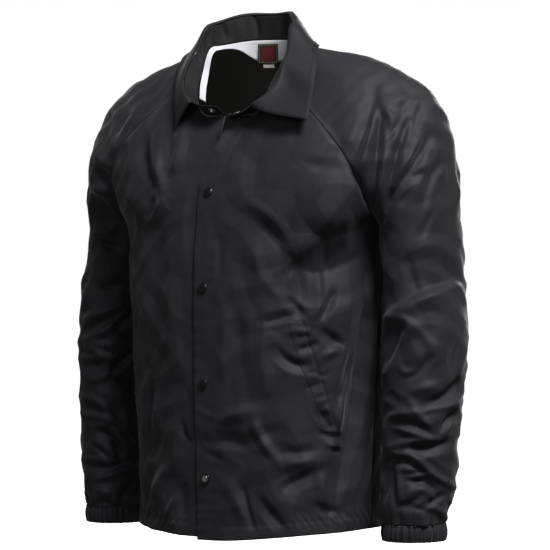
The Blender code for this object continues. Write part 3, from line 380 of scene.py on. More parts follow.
SLEEVE_LEFT_CREASES = [
    (377, 84, 366, 124, 350, 166, 6, 9, -4.5),
    (378, 110, 368, 146, 357, 182, 5, 6, 4.0),
    (381, 104, 376, 152, 371, 214, 6, 6, -8.5),
    (386, 142, 382, 176, 377, 210, 5, 5, 4.0),
    (413, 112, 398, 152, 384, 218, 5, 6, -6.5),
    (422, 132, 410, 156, 396, 178, 5, 5, 3.5),
    (430, 136, 418, 160, 398, 184, 5, 5, -5.5),
    (430, 166, 410, 176, 394, 190, 5, 4, 3.0),
    (426, 171, 404, 182, 386, 208, 6, 6, -6.5),
    (412, 184, 406, 196, 398, 204, 6, 6, -2.5),
    (446, 160, 433, 176, 424, 210, 5, 8, -4.5),
    (436, 136, 438, 160, 442, 178, 8, 6, 2.2),
    (432, 212, 426, 226, 420, 238, 5, 6, -2.5),
    (384, 116, 388, 130, 383, 144, 3, 4, -2.4),
    (392, 120, 388, 130, 384, 140, 3, 3, 1.8),
    (401, 118, 395, 130, 387, 141, 3, 4, -2.6),
    (382, 98, 386, 112, 398, 118, 4, 4, 2.0),
    (412, 94, 400, 100, 386, 110, 3, 4, 1.8),
    (405, 100, 403, 110, 400, 122, 3, 4, -2.4),
    (421, 106, 418, 118, 412, 132, 4, 4, -2.6),
    (418, 96, 412, 112, 406, 124, 4, 4, 1.8),
    (460, 180, 458, 196, 456, 214, 4, 6, 1.6),
    (404, 256, 438, 246, 466, 272, 12, 12, 2.2),
    (383, 311, 420, 290, 466, 274, 38, 9, -6.5),
    (384, 316, 420, 300, 466, 283, 7, 14, 3.2),
    (408, 256, 412, 276, 420, 292, 7, 8, -2.6),
    (383, 318, 406, 320, 428, 340, 5, 9, 3.0),
    (405, 324, 394, 344, 386, 366, 6, 12, -4.5),
    (410, 326, 399, 346, 389, 372, 5, 5, 2.4),
    (422, 334, 430, 344, 432, 358, 8, 6, 2.4),
    (433, 352, 424, 366, 410, 378, 5, 6, -4.0),
    (400, 362, 408, 373, 424, 364, 4, 5, 2.4),
    (440, 326, 436, 352, 440, 378, 12, 10, 2.4),
    (460, 334, 455, 358, 458, 382, 5, 8, -3.2),
    (410, 394, 426, 388, 442, 389, 6, 9, 2.6),
    (464, 376, 448, 396, 420, 411, 9, 8, -7.0),
    (460, 402, 440, 407, 418, 413, 5, 7, 4.5),
    (461, 409, 449, 419, 441, 434, 5, 6, -5.5),
    (457, 420, 449, 428, 444, 438, 5, 5, 3.2),
    (388, 419, 404, 413, 420, 414, 5, 6, 3.2),
    (390, 422, 411, 424, 432, 432, 5, 6, -5.0),
    (391, 425, 412, 433, 438, 441, 4, 5, 3.6),
    (408, 398, 420, 416, 437, 437, 5, 5, 2.6),
    (388, 392, 394, 398, 404, 406, 6, 6, -2.4),
    (406, 446, 428, 448, 458, 440, 6, 10, -7.0),
    (390, 448, 408, 443, 438, 440, 5, 5, 3.2),
    (409, 451, 428, 471, 455, 487, 8, 5, 5.0),
    (400, 460, 416, 466, 430, 475, 6, 5, -5.0),
    (420, 456, 438, 472, 456, 482, 6, 5, -3.6),
    (382, 457, 394, 459, 408, 462, 5, 6, -5.0),
    (390, 454, 400, 455, 410, 452, 4, 4, 2.6),
    (392, 462, 393, 482, 396, 508, 4, 4, -4.5),
    (397, 466, 398, 484, 400, 504, 5, 4, 2.0),
    (398, 475, 412, 474, 426, 471, 3, 4, -2.2),
    (402, 480, 416, 481, 433, 477, 3, 4, -2.8),
    (411, 488, 424, 483, 438, 495, 4, 5, -3.6),
    (408, 494, 424, 490, 436, 500, 5, 5, 2.4),
    (449, 493, 436, 501, 424, 509, 4, 5, -4.2),
    (397, 507, 409, 504, 420, 497, 4, 5, -3.6),
    (424, 508, 438, 510, 448, 522, 4, 5, 2.8),
    (404, 512, 414, 508, 428, 514, 4, 4, -2.4),
    (446, 500, 450, 510, 450, 520, 4, 5, -2.8),
    (384, 462, 387, 482, 384, 500, 4, 4, -2.8),
    (382, 330, 384, 356, 388, 384, 5, 5, 1.8),
]
SLEEVE_RIGHT_CREASES = [
    (134, 118, 124, 130, 119, 150, 4, 5, 2.6),
    (130, 114, 120, 124, 114, 136, 6, 6, -3.2),
    (150, 100, 138, 112, 132, 128, 6, 6, 2.2),
    (112, 112, 106, 130, 104, 150, 6, 7, -3.2),
    (98, 166, 104, 176, 116, 184, 7, 7, -7.0),
    (90, 192, 100, 190, 112, 194, 7, 6, 3.2),
    (98, 198, 104, 208, 112, 220, 5, 6, -3.0),
    (100, 240, 108, 246, 120, 248, 6, 6, -7.0),
    (98, 232, 106, 232, 116, 226, 5, 6, 2.6),
    (96, 262, 92, 280, 88, 300, 5, 6, 2.6),
    (98, 292, 112, 286, 130, 282, 10, 12, -4.0),
    (78, 322, 104, 311, 130, 303, 6, 6, 4.0),
    (82, 332, 104, 322, 128, 314, 6, 5, -3.4),
    (80, 341, 108, 328, 134, 308, 5, 7, 4.6),
    (110, 326, 124, 320, 136, 310, 5, 9, -8.0),
    (116, 331, 128, 336, 140, 342, 5, 5, -3.2),
    (88, 344, 112, 345, 136, 348, 5, 6, 3.6),
    (88, 346, 99, 353, 112, 362, 4, 5, 3.0),
    (80, 358, 93, 358, 108, 362, 4, 5, 2.8),
    (92, 368, 100, 362, 112, 366, 5, 5, -2.6),
    (138, 350, 122, 362, 106, 376, 6, 7, -8.0),
    (116, 377, 128, 382, 142, 389, 5, 6, -7.0),
    (90, 380, 104, 376, 112, 366, 4, 5, 2.6),
    (96, 392, 110, 382, 128, 386, 7, 7, -3.4),
    (84, 396, 97, 402, 110, 414, 5, 5, 3.6),
    (82, 413, 96, 416, 112, 420, 4, 5, 3.6),
    (96, 427, 105, 425, 112, 419, 4, 4, 2.2),
    (88, 402, 92, 406, 100, 410, 4, 4, -2.8),
    (108, 402, 118, 414, 128, 428, 8, 8, -2.8),
    (98, 431, 114, 440, 120, 460, 6, 6, -8.0),
    (106, 429, 120, 436, 134, 446, 4, 5, 3.4),
    (93, 438, 105, 449, 114, 458, 5, 4, 3.6),
    (90, 448, 100, 456, 110, 464, 4, 4, 2.8),
    (84, 460, 95, 459, 107, 463, 4, 4, 2.6),
    (88, 466, 98, 468, 108, 464, 4, 4, -3.4),
    (98, 474, 116, 467, 136, 459, 5, 5, -4.4),
    (96, 480, 114, 473, 136, 465, 4, 6, 4.4),
    (138, 476, 128, 490, 116, 508, 6, 6, -3.4),
    (94, 488, 104, 492, 112, 500, 5, 5, 2.2),
    (92, 506, 104, 502, 118, 508, 4, 4, -2.4),
    (112, 498, 122, 500, 134, 494, 4, 4, 2.2),
    (132, 396, 134, 418, 134, 442, 7, 7, -4.0),
]
LEAF_CREASES = [
    (300, 34, 290, 60, 268, 92, 12, 14, 1.6),
    (312, 60, 300, 84, 282, 112, 10, 12, -1.4),
    (196, 80, 188, 100, 178, 122, 8, 8, 1.2),
]
STAND_PUCKERS = [
    (221, 20, 223, 30, 227, 40, 3, 4, 2.4),
    (253, 14, 257, 24, 258, 40, 3, 4, 2.4),
    (283, 16, 282, 28, 281, 40, 3, 3, 1.8),
    (289, 20, 288, 30, 286, 40, 3, 3, 1.8),
    (208, 30, 207, 42, 207, 54, 3, 4, 1.8),
    (199, 40, 199, 50, 199, 62, 3, 3, 1.8),
    (237, 18, 239, 30, 240, 40, 6, 6, -1.2),
]

# Creases where the photo doesn't look, in metres. Girth runs round the body from centre front, positive on
# the wearer's left. Turn runs round a sleeve in degrees from its underarm over the front (90), the outer
# side (180) and the back (270).
BACK_CREASES = [
    # start_girth, start_level, middle_girth, middle_level, end_girth, end_level, side_a, side_b, height
    (0.470, -0.150, 0.430, -0.250, 0.370, -0.345, 0.030, 0.036, 6.5),
    (0.440, -0.140, 0.395, -0.220, 0.350, -0.290, 0.018, 0.022, -5.0),
    (0.350, -0.330, 0.405, -0.390, 0.450, -0.420, 0.024, 0.032, -6.0),
    (0.345, -0.320, 0.352, -0.540, 0.352, -0.744, 0.030, 0.036, 11.0),
    (0.378, -0.460, 0.392, -0.600, 0.384, -0.740, 0.024, 0.018, 6.0),
    (0.420, -0.500, 0.425, -0.620, 0.418, -0.738, 0.022, 0.026, -4.5),
    (0.470, -0.300, 0.482, -0.440, 0.470, -0.600, 0.030, 0.026, 3.5),
    (0.520, -0.220, 0.505, -0.330, 0.512, -0.420, 0.026, 0.022, -3.5),
    (0.500, -0.560, 0.520, -0.640, 0.512, -0.735, 0.022, 0.024, 3.5),
    (0.560, -0.450, 0.540, -0.560, 0.548, -0.690, 0.026, 0.024, -3.5),
    (0.570, -0.090, 0.520, -0.140, 0.460, -0.150, 0.020, 0.028, -3.5),
    (-0.470, -0.155, -0.425, -0.240, -0.380, -0.335, 0.030, 0.034, 6.0),
    (-0.435, -0.150, -0.395, -0.225, -0.355, -0.300, 0.018, 0.022, -5.0),
    (-0.350, -0.340, -0.400, -0.400, -0.455, -0.435, 0.024, 0.030, -5.5),
    (-0.342, -0.400, -0.350, -0.540, -0.340, -0.735, 0.018, 0.024, -7.5),
    (-0.376, -0.480, -0.394, -0.610, -0.386, -0.740, 0.024, 0.018, 5.5),
    (-0.430, -0.520, -0.424, -0.640, -0.430, -0.738, 0.022, 0.024, -4.0),
    (-0.480, -0.320, -0.490, -0.450, -0.474, -0.580, 0.028, 0.024, 3.0),
    (-0.530, -0.230, -0.512, -0.330, -0.520, -0.430, 0.024, 0.020, -3.0),
    (-0.570, -0.095, -0.515, -0.145, -0.455, -0.160, 0.020, 0.026, -3.0),
    (-0.540, -0.600, -0.530, -0.670, -0.545, -0.735, 0.020, 0.022, 2.5),
]
SIDE_CREASES = [
    # start_girth, start_level, middle_girth, middle_level, end_girth, end_level, side_a, side_b, height
    (-0.262, -0.340, -0.268, -0.500, -0.262, -0.700, 0.018, 0.022, -8.0),
    (-0.225, -0.360, -0.232, -0.520, -0.226, -0.720, 0.018, 0.016, 4.5),
    (-0.300, -0.380, -0.296, -0.540, -0.302, -0.710, 0.016, 0.016, 4.0),
]
SLEEVE_HIDDEN_CREASES = [
    # start_turn, start_level, middle_turn, middle_level, end_turn, end_level, side_a, side_b, height
    (210, -0.190, 225, -0.250, 240, -0.310, 0.016, 0.020, -5.0),
    (292, -0.130, 300, -0.210, 312, -0.290, 0.012, 0.018, -9.0),
    (262, -0.140, 272, -0.200, 290, -0.270, 0.014, 0.014, 4.5),
    (236, -0.130, 250, -0.180, 268, -0.230, 0.014, 0.016, -5.0),
    (230, -0.345, 275, -0.330, 325, -0.352, 0.026, 0.012, -5.0),
    (232, -0.365, 275, -0.350, 325, -0.370, 0.010, 0.016, 3.2),
    (225, -0.420, 270, -0.445, 325, -0.425, 0.012, 0.016, 5.0),
    (222, -0.470, 262, -0.455, 300, -0.470, 0.014, 0.012, -6.0),
    (250, -0.500, 290, -0.485, 335, -0.505, 0.010, 0.014, 4.0),
    (218, -0.520, 250, -0.505, 280, -0.530, 0.010, 0.012, 3.6),
    (230, -0.560, 275, -0.545, 320, -0.565, 0.012, 0.014, -6.0),
    (215, -0.590, 255, -0.575, 300, -0.600, 0.012, 0.012, 4.8),
    (260, -0.625, 300, -0.610, 340, -0.630, 0.010, 0.012, -4.5),
    (212, -0.640, 245, -0.625, 280, -0.650, 0.010, 0.014, 4.4),
    (225, -0.672, 260, -0.660, 300, -0.676, 0.010, 0.010, -4.4),
    (290, -0.655, 320, -0.645, 350, -0.662, 0.010, 0.010, 3.4),
    (330, -0.400, 345, -0.440, 352, -0.500, 0.014, 0.012, -4.0),
    (335, -0.560, 348, -0.600, 350, -0.660, 0.010, 0.012, -3.4),
]

# Flat-sided shallow folds of crumpled thin nylon: their runs, and how they bend and come and go
FACET_WAVES = [
    # run_x, run_y, run_z, length, share, phase
    (0.80, 0.50, 0.30, 0.074, 1.30, 0.0),
    (0.55, -0.60, 0.75, 0.056, 1.00, 1.3),
    (-0.45, 0.55, 0.90, 0.041, 0.75, 2.9),
    (0.90, -0.20, -0.45, 0.030, 0.35, 4.1),
]
FACET_BENDS = [(0.20, (23.0, -13.0, 17.0)), (0.07, (-53.0, 41.0, 67.0))]
FACET_PATCHES = (19.0, 13.0, -21.0)

# Strength of creases and facets, and how both end at seams
FRONT_CREASE_GAIN = 1.9
SLEEVE_CREASE_GAIN = 1.6
STAND_CREASE_GAIN = 1.8
STAND_SMOOTH_END = 0.12
STAND_END_FADE = 0.05
FRONT_FACETS = 0.0014
BACK_FACETS = 0.0016
SLEEVE_FACETS = 0.0017
LEAF_FACETS = 0.0004
SEAM_FADE = 0.008
SEAM_DITCH = 0.0009
SEAM_DITCH_WIDTH = 0.0035
PLACKET_CREASE_SHARE = 0.35
PLACKET_CREASE_FADE = 0.02
UNDER_LAP_CREASE_FADE = 0.03
UNDER_LAP_REACH = 0.045
SLEEVE_FACET_SIZE = 0.8
RIGHT_SLEEVE_CREASE_SHIFT = 0.006
UNDERARM_SEAM_FADE = 0.02

# How a crease is drawn, and how squarely cloth has to face the photo's camera to show it
CREST_ROUNDING = 0.5
HIDDEN_CREST_ROUNDING = 0.002
CREASE_POINTS = 9
CREASE_TAPER = 0.6
SEEN_FROM = -0.22
SEEN_RANGE = 0.25
SLEEVE_GIRTH = 0.40

# Lines of stitching, and puckers beside them as (spacing, height)
PLACKET_WIDTH = 0.030
HEM_DEPTH = 0.020
COLLAR_STITCH_DEPTH = 0.006
BODY_STITCH_PITCH = 0.0034
BODY_THREAD_WIDTH = 0.00055
COLLAR_STITCH_PITCH = 0.0030
COLLAR_THREAD_WIDTH = 0.0005
PUCKER_REACH = 0.009
HEM_STITCH_DEPTH = 0.0007
HEM_PUCKERS = (0.014, 0.0011)
HEM_FOLD = 0.0004
PLACKET_STITCH_DEPTH = 0.0005
PLACKET_PUCKERS = (0.019, 0.0003)
FRONT_EDGE_WAVES = (0.021, 0.0004)
SLIT_DEPTH = 0.0018
SLIT_WIDTH = 0.0018
POCKET_PUCKER_SPACING = 0.015
POCKET_PUCKER_HEIGHT = 0.0006
POCKET_PUCKER_OFFSET = 0.008
POCKET_PUCKER_REACH = 0.011
POCKET_END_REACH = 0.004
POCKET_END_FADE = 0.006
LEAF_STITCH_DEPTH = 0.0005

# Gathers of the cuffs and above them
CUFF_SWELL = 0.0016
CUFF_STITCH_DIP = 0.0006
CUFF_WAVE = 0.0011
CUFF_CROSS_WAVE = 0.0006
GATHER_HEIGHT = 0.0018
GATHER_REACH = 0.022

# Fine detail of the finishes, in metres and threads per metre, and plain white
WEAVE_HEIGHT = 0.0001
CRINKLE_HEIGHT = 0.002
NYLON_THREADS = 1400.0
WHITE = (1.0, 1.0, 1.0, 1.0)


def smooth_step(value):
    """0 below 0, 1 above 1, and a soft rise between."""
    clipped = np.clip(value, 0.0, 1.0)
    return clipped * clipped * (3.0 - 2.0 * clipped)


def unit(vectors):
    """Vectors scaled to length 1."""
    vectors = np.asarray(vectors, float)
    return vectors / np.maximum(np.linalg.norm(vectors, axis=-1, keepdims=True), 1e-12)


def hermite(start, start_pull, end, end_pull, shares):
    """Points of the cubic curve with these ends and end velocities."""
    t = np.asarray(shares, float)[:, None]
    return (
        (2 * t**3 - 3 * t**2 + 1) * start
        + (t**3 - 2 * t**2 + t) * start_pull
        + (-2 * t**3 + 3 * t**2) * end
        + (t**3 - t**2) * end_pull
    )


def read_table(table, at):
    """The columns of a table after its first, read at a value of the first on a smooth curve."""
    rows = np.array(table, float)
    if rows[0, 0] > rows[-1, 0]:
        rows = rows[::-1]
    keys, values = rows[:, 0], rows[:, 1:]
    slopes = np.gradient(values, keys, axis=0)
    index = int(np.clip(np.searchsorted(keys, at) - 1, 0, len(keys) - 2))
    step = keys[index + 1] - keys[index]
    share = min(max((at - keys[index]) / step, 0.0), 1.0)
    return hermite(
        values[index], slopes[index] * step, values[index + 1], slopes[index + 1] * step, np.array([share])
    )[0]


def arc(start, start_run, end, end_run, shares, fullness=1.0):
    """A round arc that leaves one point along start_run and reaches the other along end_run."""
    start, end = np.asarray(start, float), np.asarray(end, float)
    start_run, end_run = unit(start_run), unit(end_run)
    turn = math.acos(float(np.clip(start_run @ end_run, -1.0, 1.0)))
    chord = float(np.linalg.norm(end - start))
    pull = chord if turn < 0.01 else chord * 2 * math.tan(turn / 4) / math.sin(turn / 2)
    pull *= fullness
    return hermite(start, start_run * pull, end, end_run * pull, shares)


def mirrored(points):
    """The same points on the other side of the body."""
    return np.asarray(points, float) * side_turn(-1)


def lengths_along(points):
    """Distance along a line of points, starting at 0."""
    steps = np.linalg.norm(np.diff(points, axis=0), axis=1)
    return np.concatenate([[0.0], np.cumsum(steps)])


def read_line(points, keys, at):
    """Points of a line, read at values of the keys that rise along it."""
    return np.stack([np.interp(at, keys, points[:, k]) for k in range(3)], axis=-1)


def resampled(points, shares):
    """Points at these shares of a line's whole length."""
    along = lengths_along(points)
    return read_line(points, along, np.asarray(shares, float) * along[-1])


def row_lengths(grid):
    """Distance of each point of a grid from the start of its row."""
    return np.stack([lengths_along(row) for row in grid])


def column_lengths(grid):
    """Distance of each point of a grid from the start of its column."""
    return np.stack([lengths_along(grid[:, j]) for j in range(grid.shape[1])], axis=1)


def raised(grid, normals, heights):
    """A grid with each point moved along its normal by a height."""
    return grid + normals * heights[..., None]


def bell(distance, width):
    """1 at distance 0, with a soft fall to both sides."""
    return np.exp(-((distance / width) ** 2))


def side_turn(side):
    """Factors that take a left grid to its side of the body: 1 for the left, -1 for the right."""
    return np.array([float(side), 1.0, 1.0])


def grid_normals(grid):
    """Unit normals of a grid of points, row by row."""
    along_row = np.gradient(grid, axis=1)
    across = np.gradient(grid, axis=0)
    return unit(np.cross(along_row, across))


def ring_normals(grid, closed_from):
    """Unit normals of a grid whose rows close into rings from one row on."""
    normals = grid_normals(grid)
    shared = unit(normals[closed_from:, 0] + normals[closed_from:, -1])
    normals[closed_from:, 0] = shared
    normals[closed_from:, -1] = shared
    return normals


def edge_distances(grid):
    """Distance along the cloth from each side of a grid."""
    down, along = column_lengths(grid), row_lengths(grid)
    return {
        "first_row": down,
        "last_row": down[-1:] - down,
        "first_column": along,
        "last_column": along[:, -1:] - along,
    }


def photo_place(points):
    """Pixel column and row of points in the photo, and the way toward its camera."""
    turn = math.radians(CAMERA_AZIMUTH)
    ahead = np.array([-math.sin(turn), math.cos(turn), 0.0])
    right = np.array([math.cos(turn), math.sin(turn), 0.0])
    depth = CAMERA_DISTANCE + points @ ahead
    column = AXIS_PX + FOCAL_PX * (points @ right) / depth
    row = HORIZON_PX - FOCAL_PX * (points[..., 2] - CAMERA_LEVEL) / depth
    return np.stack([column, row], axis=-1), -ahead


def crease_heights(places, table, rounding):
    """Height in metres at each place of all creases of a table, highest at their crests."""
    total = np.zeros(places.shape[:-1])
    for row in table:
        start, middle, end = np.array(row[0:2]), np.array(row[2:4]), np.array(row[4:6])
        side_a, side_b, height = row[6:9]
        control = 2 * middle - (start + end) / 2
        t = np.linspace(0.0, 1.0, CREASE_POINTS)[:, None]
        line = (1 - t) ** 2 * start + 2 * t * (1 - t) * control + t**2 * end
        reach = max(side_a, side_b)
        low, high = line.min(axis=0) - reach, line.max(axis=0) + reach
        near = np.all((places >= low) & (places <= high), axis=-1)
        if not near.any():
            continue
        here = places[near]
        best = np.full(len(here), np.inf)
        share_there = np.zeros(len(here))
        side_there = np.zeros(len(here))
        for k in range(len(line) - 1):
            step = line[k + 1] - line[k]
            share = np.clip(((here - line[k]) @ step) / (step @ step), 0.0, 1.0)
            off = here - (line[k] + share[:, None] * step)
            away = np.linalg.norm(off, axis=1)
            closer = away < best
            best[closer] = away[closer]
            share_there[closer] = (k + share[closer]) / (len(line) - 1)
            side_there[closer] = (step[0] * off[closer, 1] - step[1] * off[closer, 0])
        width = np.where(side_there < 0, side_a, side_b)
        from_crest = np.sqrt(best**2 + rounding**2) - rounding
        fall = np.clip(1.0 - from_crest / width, 0.0, 1.0)
        taper = np.sin(math.pi * np.clip(share_there, 0.02, 0.98)) ** CREASE_TAPER
        total[near] += height * 0.001 * fall * taper
    return total


def photo_creases(grid, normals, table):
    """Heights of creases drawn on the photo, on the parts of a grid that its camera sees."""
    places, to_camera = photo_place(grid)
    seen = smooth_step((normals @ to_camera - SEEN_FROM) / SEEN_RANGE)
    return crease_heights(places, table, CREST_ROUNDING) * seen


def faceted(points, height, size=1.0):
    """Height in metres of flat-sided shallow folds in several directions, bent and uneven."""
    total = np.zeros(points.shape[:-1])
    for run_x, run_y, run_z, length, share, phase in FACET_WAVES:
        bend = sum(amount * np.sin(points @ list(run) + phase) for amount, run in FACET_BENDS)
        steps = points @ unit([run_x, run_y, run_z]) / (length * size) + bend + phase
        wave = 4.0 * np.abs(steps - np.floor(steps + 0.5)) - 1.0
        patch = 0.55 + 0.45 * np.sin(points @ list(FACET_PATCHES) + 2.0 * phase)
        total += share * wave * patch
    return total * height


def softened(heights, times):
    """Heights averaged a little with their neighbours on the grid."""
    for _ in range(times):
        padded = np.pad(heights, 1, mode="edge")
        beside = padded[1:-1, :-2] + padded[1:-1, 2:] + padded[:-2, 1:-1] + padded[2:, 1:-1]
        heights = heights * 0.5 + beside * 0.125
    return heights


def seam_shape(distances, sides):
    """Fade of the creases toward the named seams, and the shallow ditch that the stitching pulls in."""
    fade = 1.0
    ditch = 0.0
    for side in sides:
        fade = fade * smooth_step(distances[side] / SEAM_FADE)
        ditch = np.maximum(ditch, np.clip(1.0 - distances[side] / SEAM_DITCH_WIDTH, 0.0, 1.0) ** 2)
    return fade, ditch * SEAM_DITCH


def stitch_puckers(distance, along, spacing, height, seed):
    """Small uneven puckers square to a line of stitching, which fade with distance from it."""
    uneven = 2.4 * np.sin(along * 29.0 + seed) + 1.3 * np.sin(along * 71.0)
    wave = np.sin(2 * math.pi * along / spacing + uneven + seed)
    patchy = 0.55 + 0.45 * np.sin(along * 21.0 + seed * 2.0)
    return height * wave * patchy * bell(distance, PUCKER_REACH)


def front_row(share_or_level, upper, opening, lapel_roll):
    """One row of the left front, from its front edge round to the side seam or the raglan seam."""
    if upper:
        y, level = read_table(CENTRE_FRONT, share_or_level)
        seam = read_table(FRONT_SEAM, share_or_level)
        end, end_run = seam[:3], seam[3:]
        rise = (level - FIRST_CLOSED_SNAP_LEVEL) / (CENTRE_FRONT[-1][2] - FIRST_CLOSED_SNAP_LEVEL)
        open_share = float(smooth_step(rise))
        neck_turn = share_or_level**3
        start_run = np.array([1.0, 0.10 * neck_turn, 0.22 * neck_turn])
    else:
        level = share_or_level
        half_width, front, _ = read_table(TORSO, level)
        y = -front
        end, end_run = np.array([half_width, SIDE_SEAM_Y, level]), np.array([0.0, 1.0, 0.0])
        open_share = 0.0
        start_run = np.array([1.0, 0.0, 0.0])
    shift = opening * open_share
    edge = np.array([-OVERLAP + shift, y - lapel_roll * open_share, level])
    bend = np.array([OVERLAP + shift, y, level])
    lap = np.linspace(0.0, 1.0, LAP_POINTS)[:-1, None] * (bend - edge) + edge
    rest = arc(bend, start_run, end, end_run, np.linspace(0.0, 1.0, FRONT_COLUMNS), PANEL_FULLNESS)
    return np.concatenate([lap, rest])


def front_grid(opening, lapel_roll):
    """Rows of the left front from the hem up to the neck seam."""
    lower = np.linspace(HEM_LEVEL, UNDERARM_LEVEL, LOWER_ROWS)
    upper = np.linspace(0.0, 1.0, UPPER_ROWS + 1)[1:]
    rows = [front_row(level, False, opening, lapel_roll) for level in lower]
    rows += [front_row(share, True, opening, lapel_roll) for share in upper]
    return np.array(rows)


def back_upper_row(share):
    """One row of the back above the underarm, from the left raglan seam to the right one."""
    y, level = read_table(CENTRE_BACK, share)
    seam = read_table(BACK_SEAM, share)
    half = arc([0, y, level], [1, 0, 0], seam[:3], seam[3:], np.linspace(0.0, 1.0, BACK_HALF_COLUMNS))
    return np.concatenate([half[::-1], mirrored(half[1:])])


def back_grid():
    """Rows of the whole back from the hem up to the neck seam, from the wearer's left to the right."""
    rows = []
    shares = np.linspace(0.0, 1.0, BACK_HALF_COLUMNS)
    for level in np.linspace(HEM_LEVEL, UNDERARM_LEVEL, LOWER_ROWS):
        half_width, _, back = read_table(TORSO, level)
        side = [half_width, SIDE_SEAM_Y, level]
        half = arc([0, back, level], [1, 0, 0], side, [0, -1, 0], shares, PANEL_FULLNESS)
        rows.append(np.concatenate([half[::-1], mirrored(half[1:])]))
    rows += [back_upper_row(share) for share in np.linspace(0.0, 1.0, UPPER_ROWS + 1)[1:]]
    return np.array(rows)


def cap_row(share, drop=0.0):
    """One open row of the left sleeve, from the front seam over the ridge to the back seam."""
    front = read_table(FRONT_SEAM, share)[:3]
    back = read_table(BACK_SEAM, share)[:3]
    lowered = drop * math.sin(math.pi * share**SHOULDER_DROP_TURN)
    ridge = read_table(SLEEVE_RIDGE, share) - np.array([0.0, 0.0, lowered])
    runs = read_table(SLEEVE_RUNS, share)
    half = SLEEVE_COLUMNS // 2 + 1
    first = arc(front, runs[:3], ridge, [0, 1, 0], np.linspace(0.0, 1.0, half), CAP_FRONT_FULLNESS)
    second = arc(ridge, [0, 1, 0], back, runs[3:], np.linspace(0.0, 1.0, half))
    row = np.concatenate([first, second[1:]])
    settle = 1.0 - float(smooth_step(share / CAP_SETTLE_SHARE))
    if share > 0.0 and settle > 0.0:
        row += settle * (tube_row(UNDERARM_LEVEL) - cap_row(0.0))
    return row


def tube_row(level):
    """One closed row of the left sleeve, from its underarm over the front and outer side to the underarm."""
    centre_x, centre_y, half_width, half_depth = read_table(SLEEVE, level)
    first_centre_y = read_table(SLEEVE, UNDERARM_LEVEL)[1]
    settle = float(smooth_step((UNDERARM_LEVEL - level) / TUBE_SETTLE_DEPTH))
    inner_y = (SIDE_SEAM_Y - first_centre_y) * (1 - settle) + centre_y
    inner, outer = [centre_x - half_width, inner_y, level], [centre_x + half_width, centre_y, level]
    front, back = [centre_x, centre_y - half_depth, level], [centre_x, centre_y + half_depth, level]
    shares = np.linspace(0.0, 1.0, SLEEVE_COLUMNS // 4 + 1)
    quarters = [
        arc(inner, [0, -1, 0], front, [1, 0, 0], shares),
        arc(front, [1, 0, 0], outer, [0, 1, 0], shares)[1:],
        arc(outer, [0, 1, 0], back, [-1, 0, 0], shares)[1:],
        arc(back, [-1, 0, 0], inner, [0, -1, 0], shares)[1:],
    ]
    return np.concatenate(quarters)


def sleeve_grid(drop):
    """Rows of the left sleeve from the neck seam down to the top of the cuff."""
    cap = [cap_row(share, drop) for share in np.linspace(1.0, 0.0, UPPER_ROWS + 1)[:-1]]
    tube = [tube_row(level) for level in np.linspace(UNDERARM_LEVEL, CUFF_TOP_LEVEL + SEAM_GAP, TUBE_ROWS)]
    return np.array(cap + tube), len(cap)


def front_girths(grid):
    """Girth of each point of a left front grid, measured from centre front."""
    return row_lengths(grid) - OVERLAP


def hem_curved(grid, girths, side_girth, front_drop):
    """The grid with its hem raised toward the side seam, less at the back, and dropped at the front edge."""
    low = 1.0 - smooth_step((grid[..., 2] - HEM_LEVEL) / HEM_CURVE_HEIGHT)
    share = np.clip(girths / side_girth, 0.0, 2.0)
    rise = np.where(share < 1.0, SIDE_HEM_RISE * smooth_step(share), 0.0)
    behind = BACK_HEM_RISE + (SIDE_HEM_RISE - BACK_HEM_RISE) * (1.0 - smooth_step(share - 1.0))
    rise = np.where(share >= 1.0, behind, rise)
    rise -= front_drop * (1.0 - smooth_step(girths / (side_girth * 0.6)))
    moved = grid.copy()
    moved[..., 2] += rise * low
    return moved


def hem_detail(grid, girths, seed):
    """Heights of the stitched hem: a shallow line of stitching with puckers above the edge."""
    above = grid[..., 2] - grid[:1, :, 2]
    line = -HEM_STITCH_DEPTH * bell(above - HEM_DEPTH, 0.0022)
    puckers = stitch_puckers(above - HEM_DEPTH, girths + above * 0.7, *HEM_PUCKERS, seed)
    folded = HEM_FOLD * (1.0 - smooth_step((above - HEM_DEPTH + 0.001) / 0.002))
    return line + puckers + folded


def placket_detail(grid, girths, seed):
    """Heights of the snap placket: a line of stitching with faint puckers beside the front edge."""
    inside = girths + OVERLAP
    line = -PLACKET_STITCH_DEPTH * bell(inside - PLACKET_WIDTH, 0.0018)
    along = grid[..., 2]
    puckers = stitch_puckers(inside - PLACKET_WIDTH, along, *PLACKET_PUCKERS, seed)
    edge_waves = stitch_puckers(inside * 0.6, along, *FRONT_EDGE_WAVES, seed + 1.0)
    return line + puckers + edge_waves


def curved_front(flat, side):
    """A left front grid with its curved hem."""
    girths = front_girths(flat)
    return hem_curved(flat, girths, girths[:LOWER_ROWS, -1].mean(), LEFT_HEM_DROP * (side > 0))


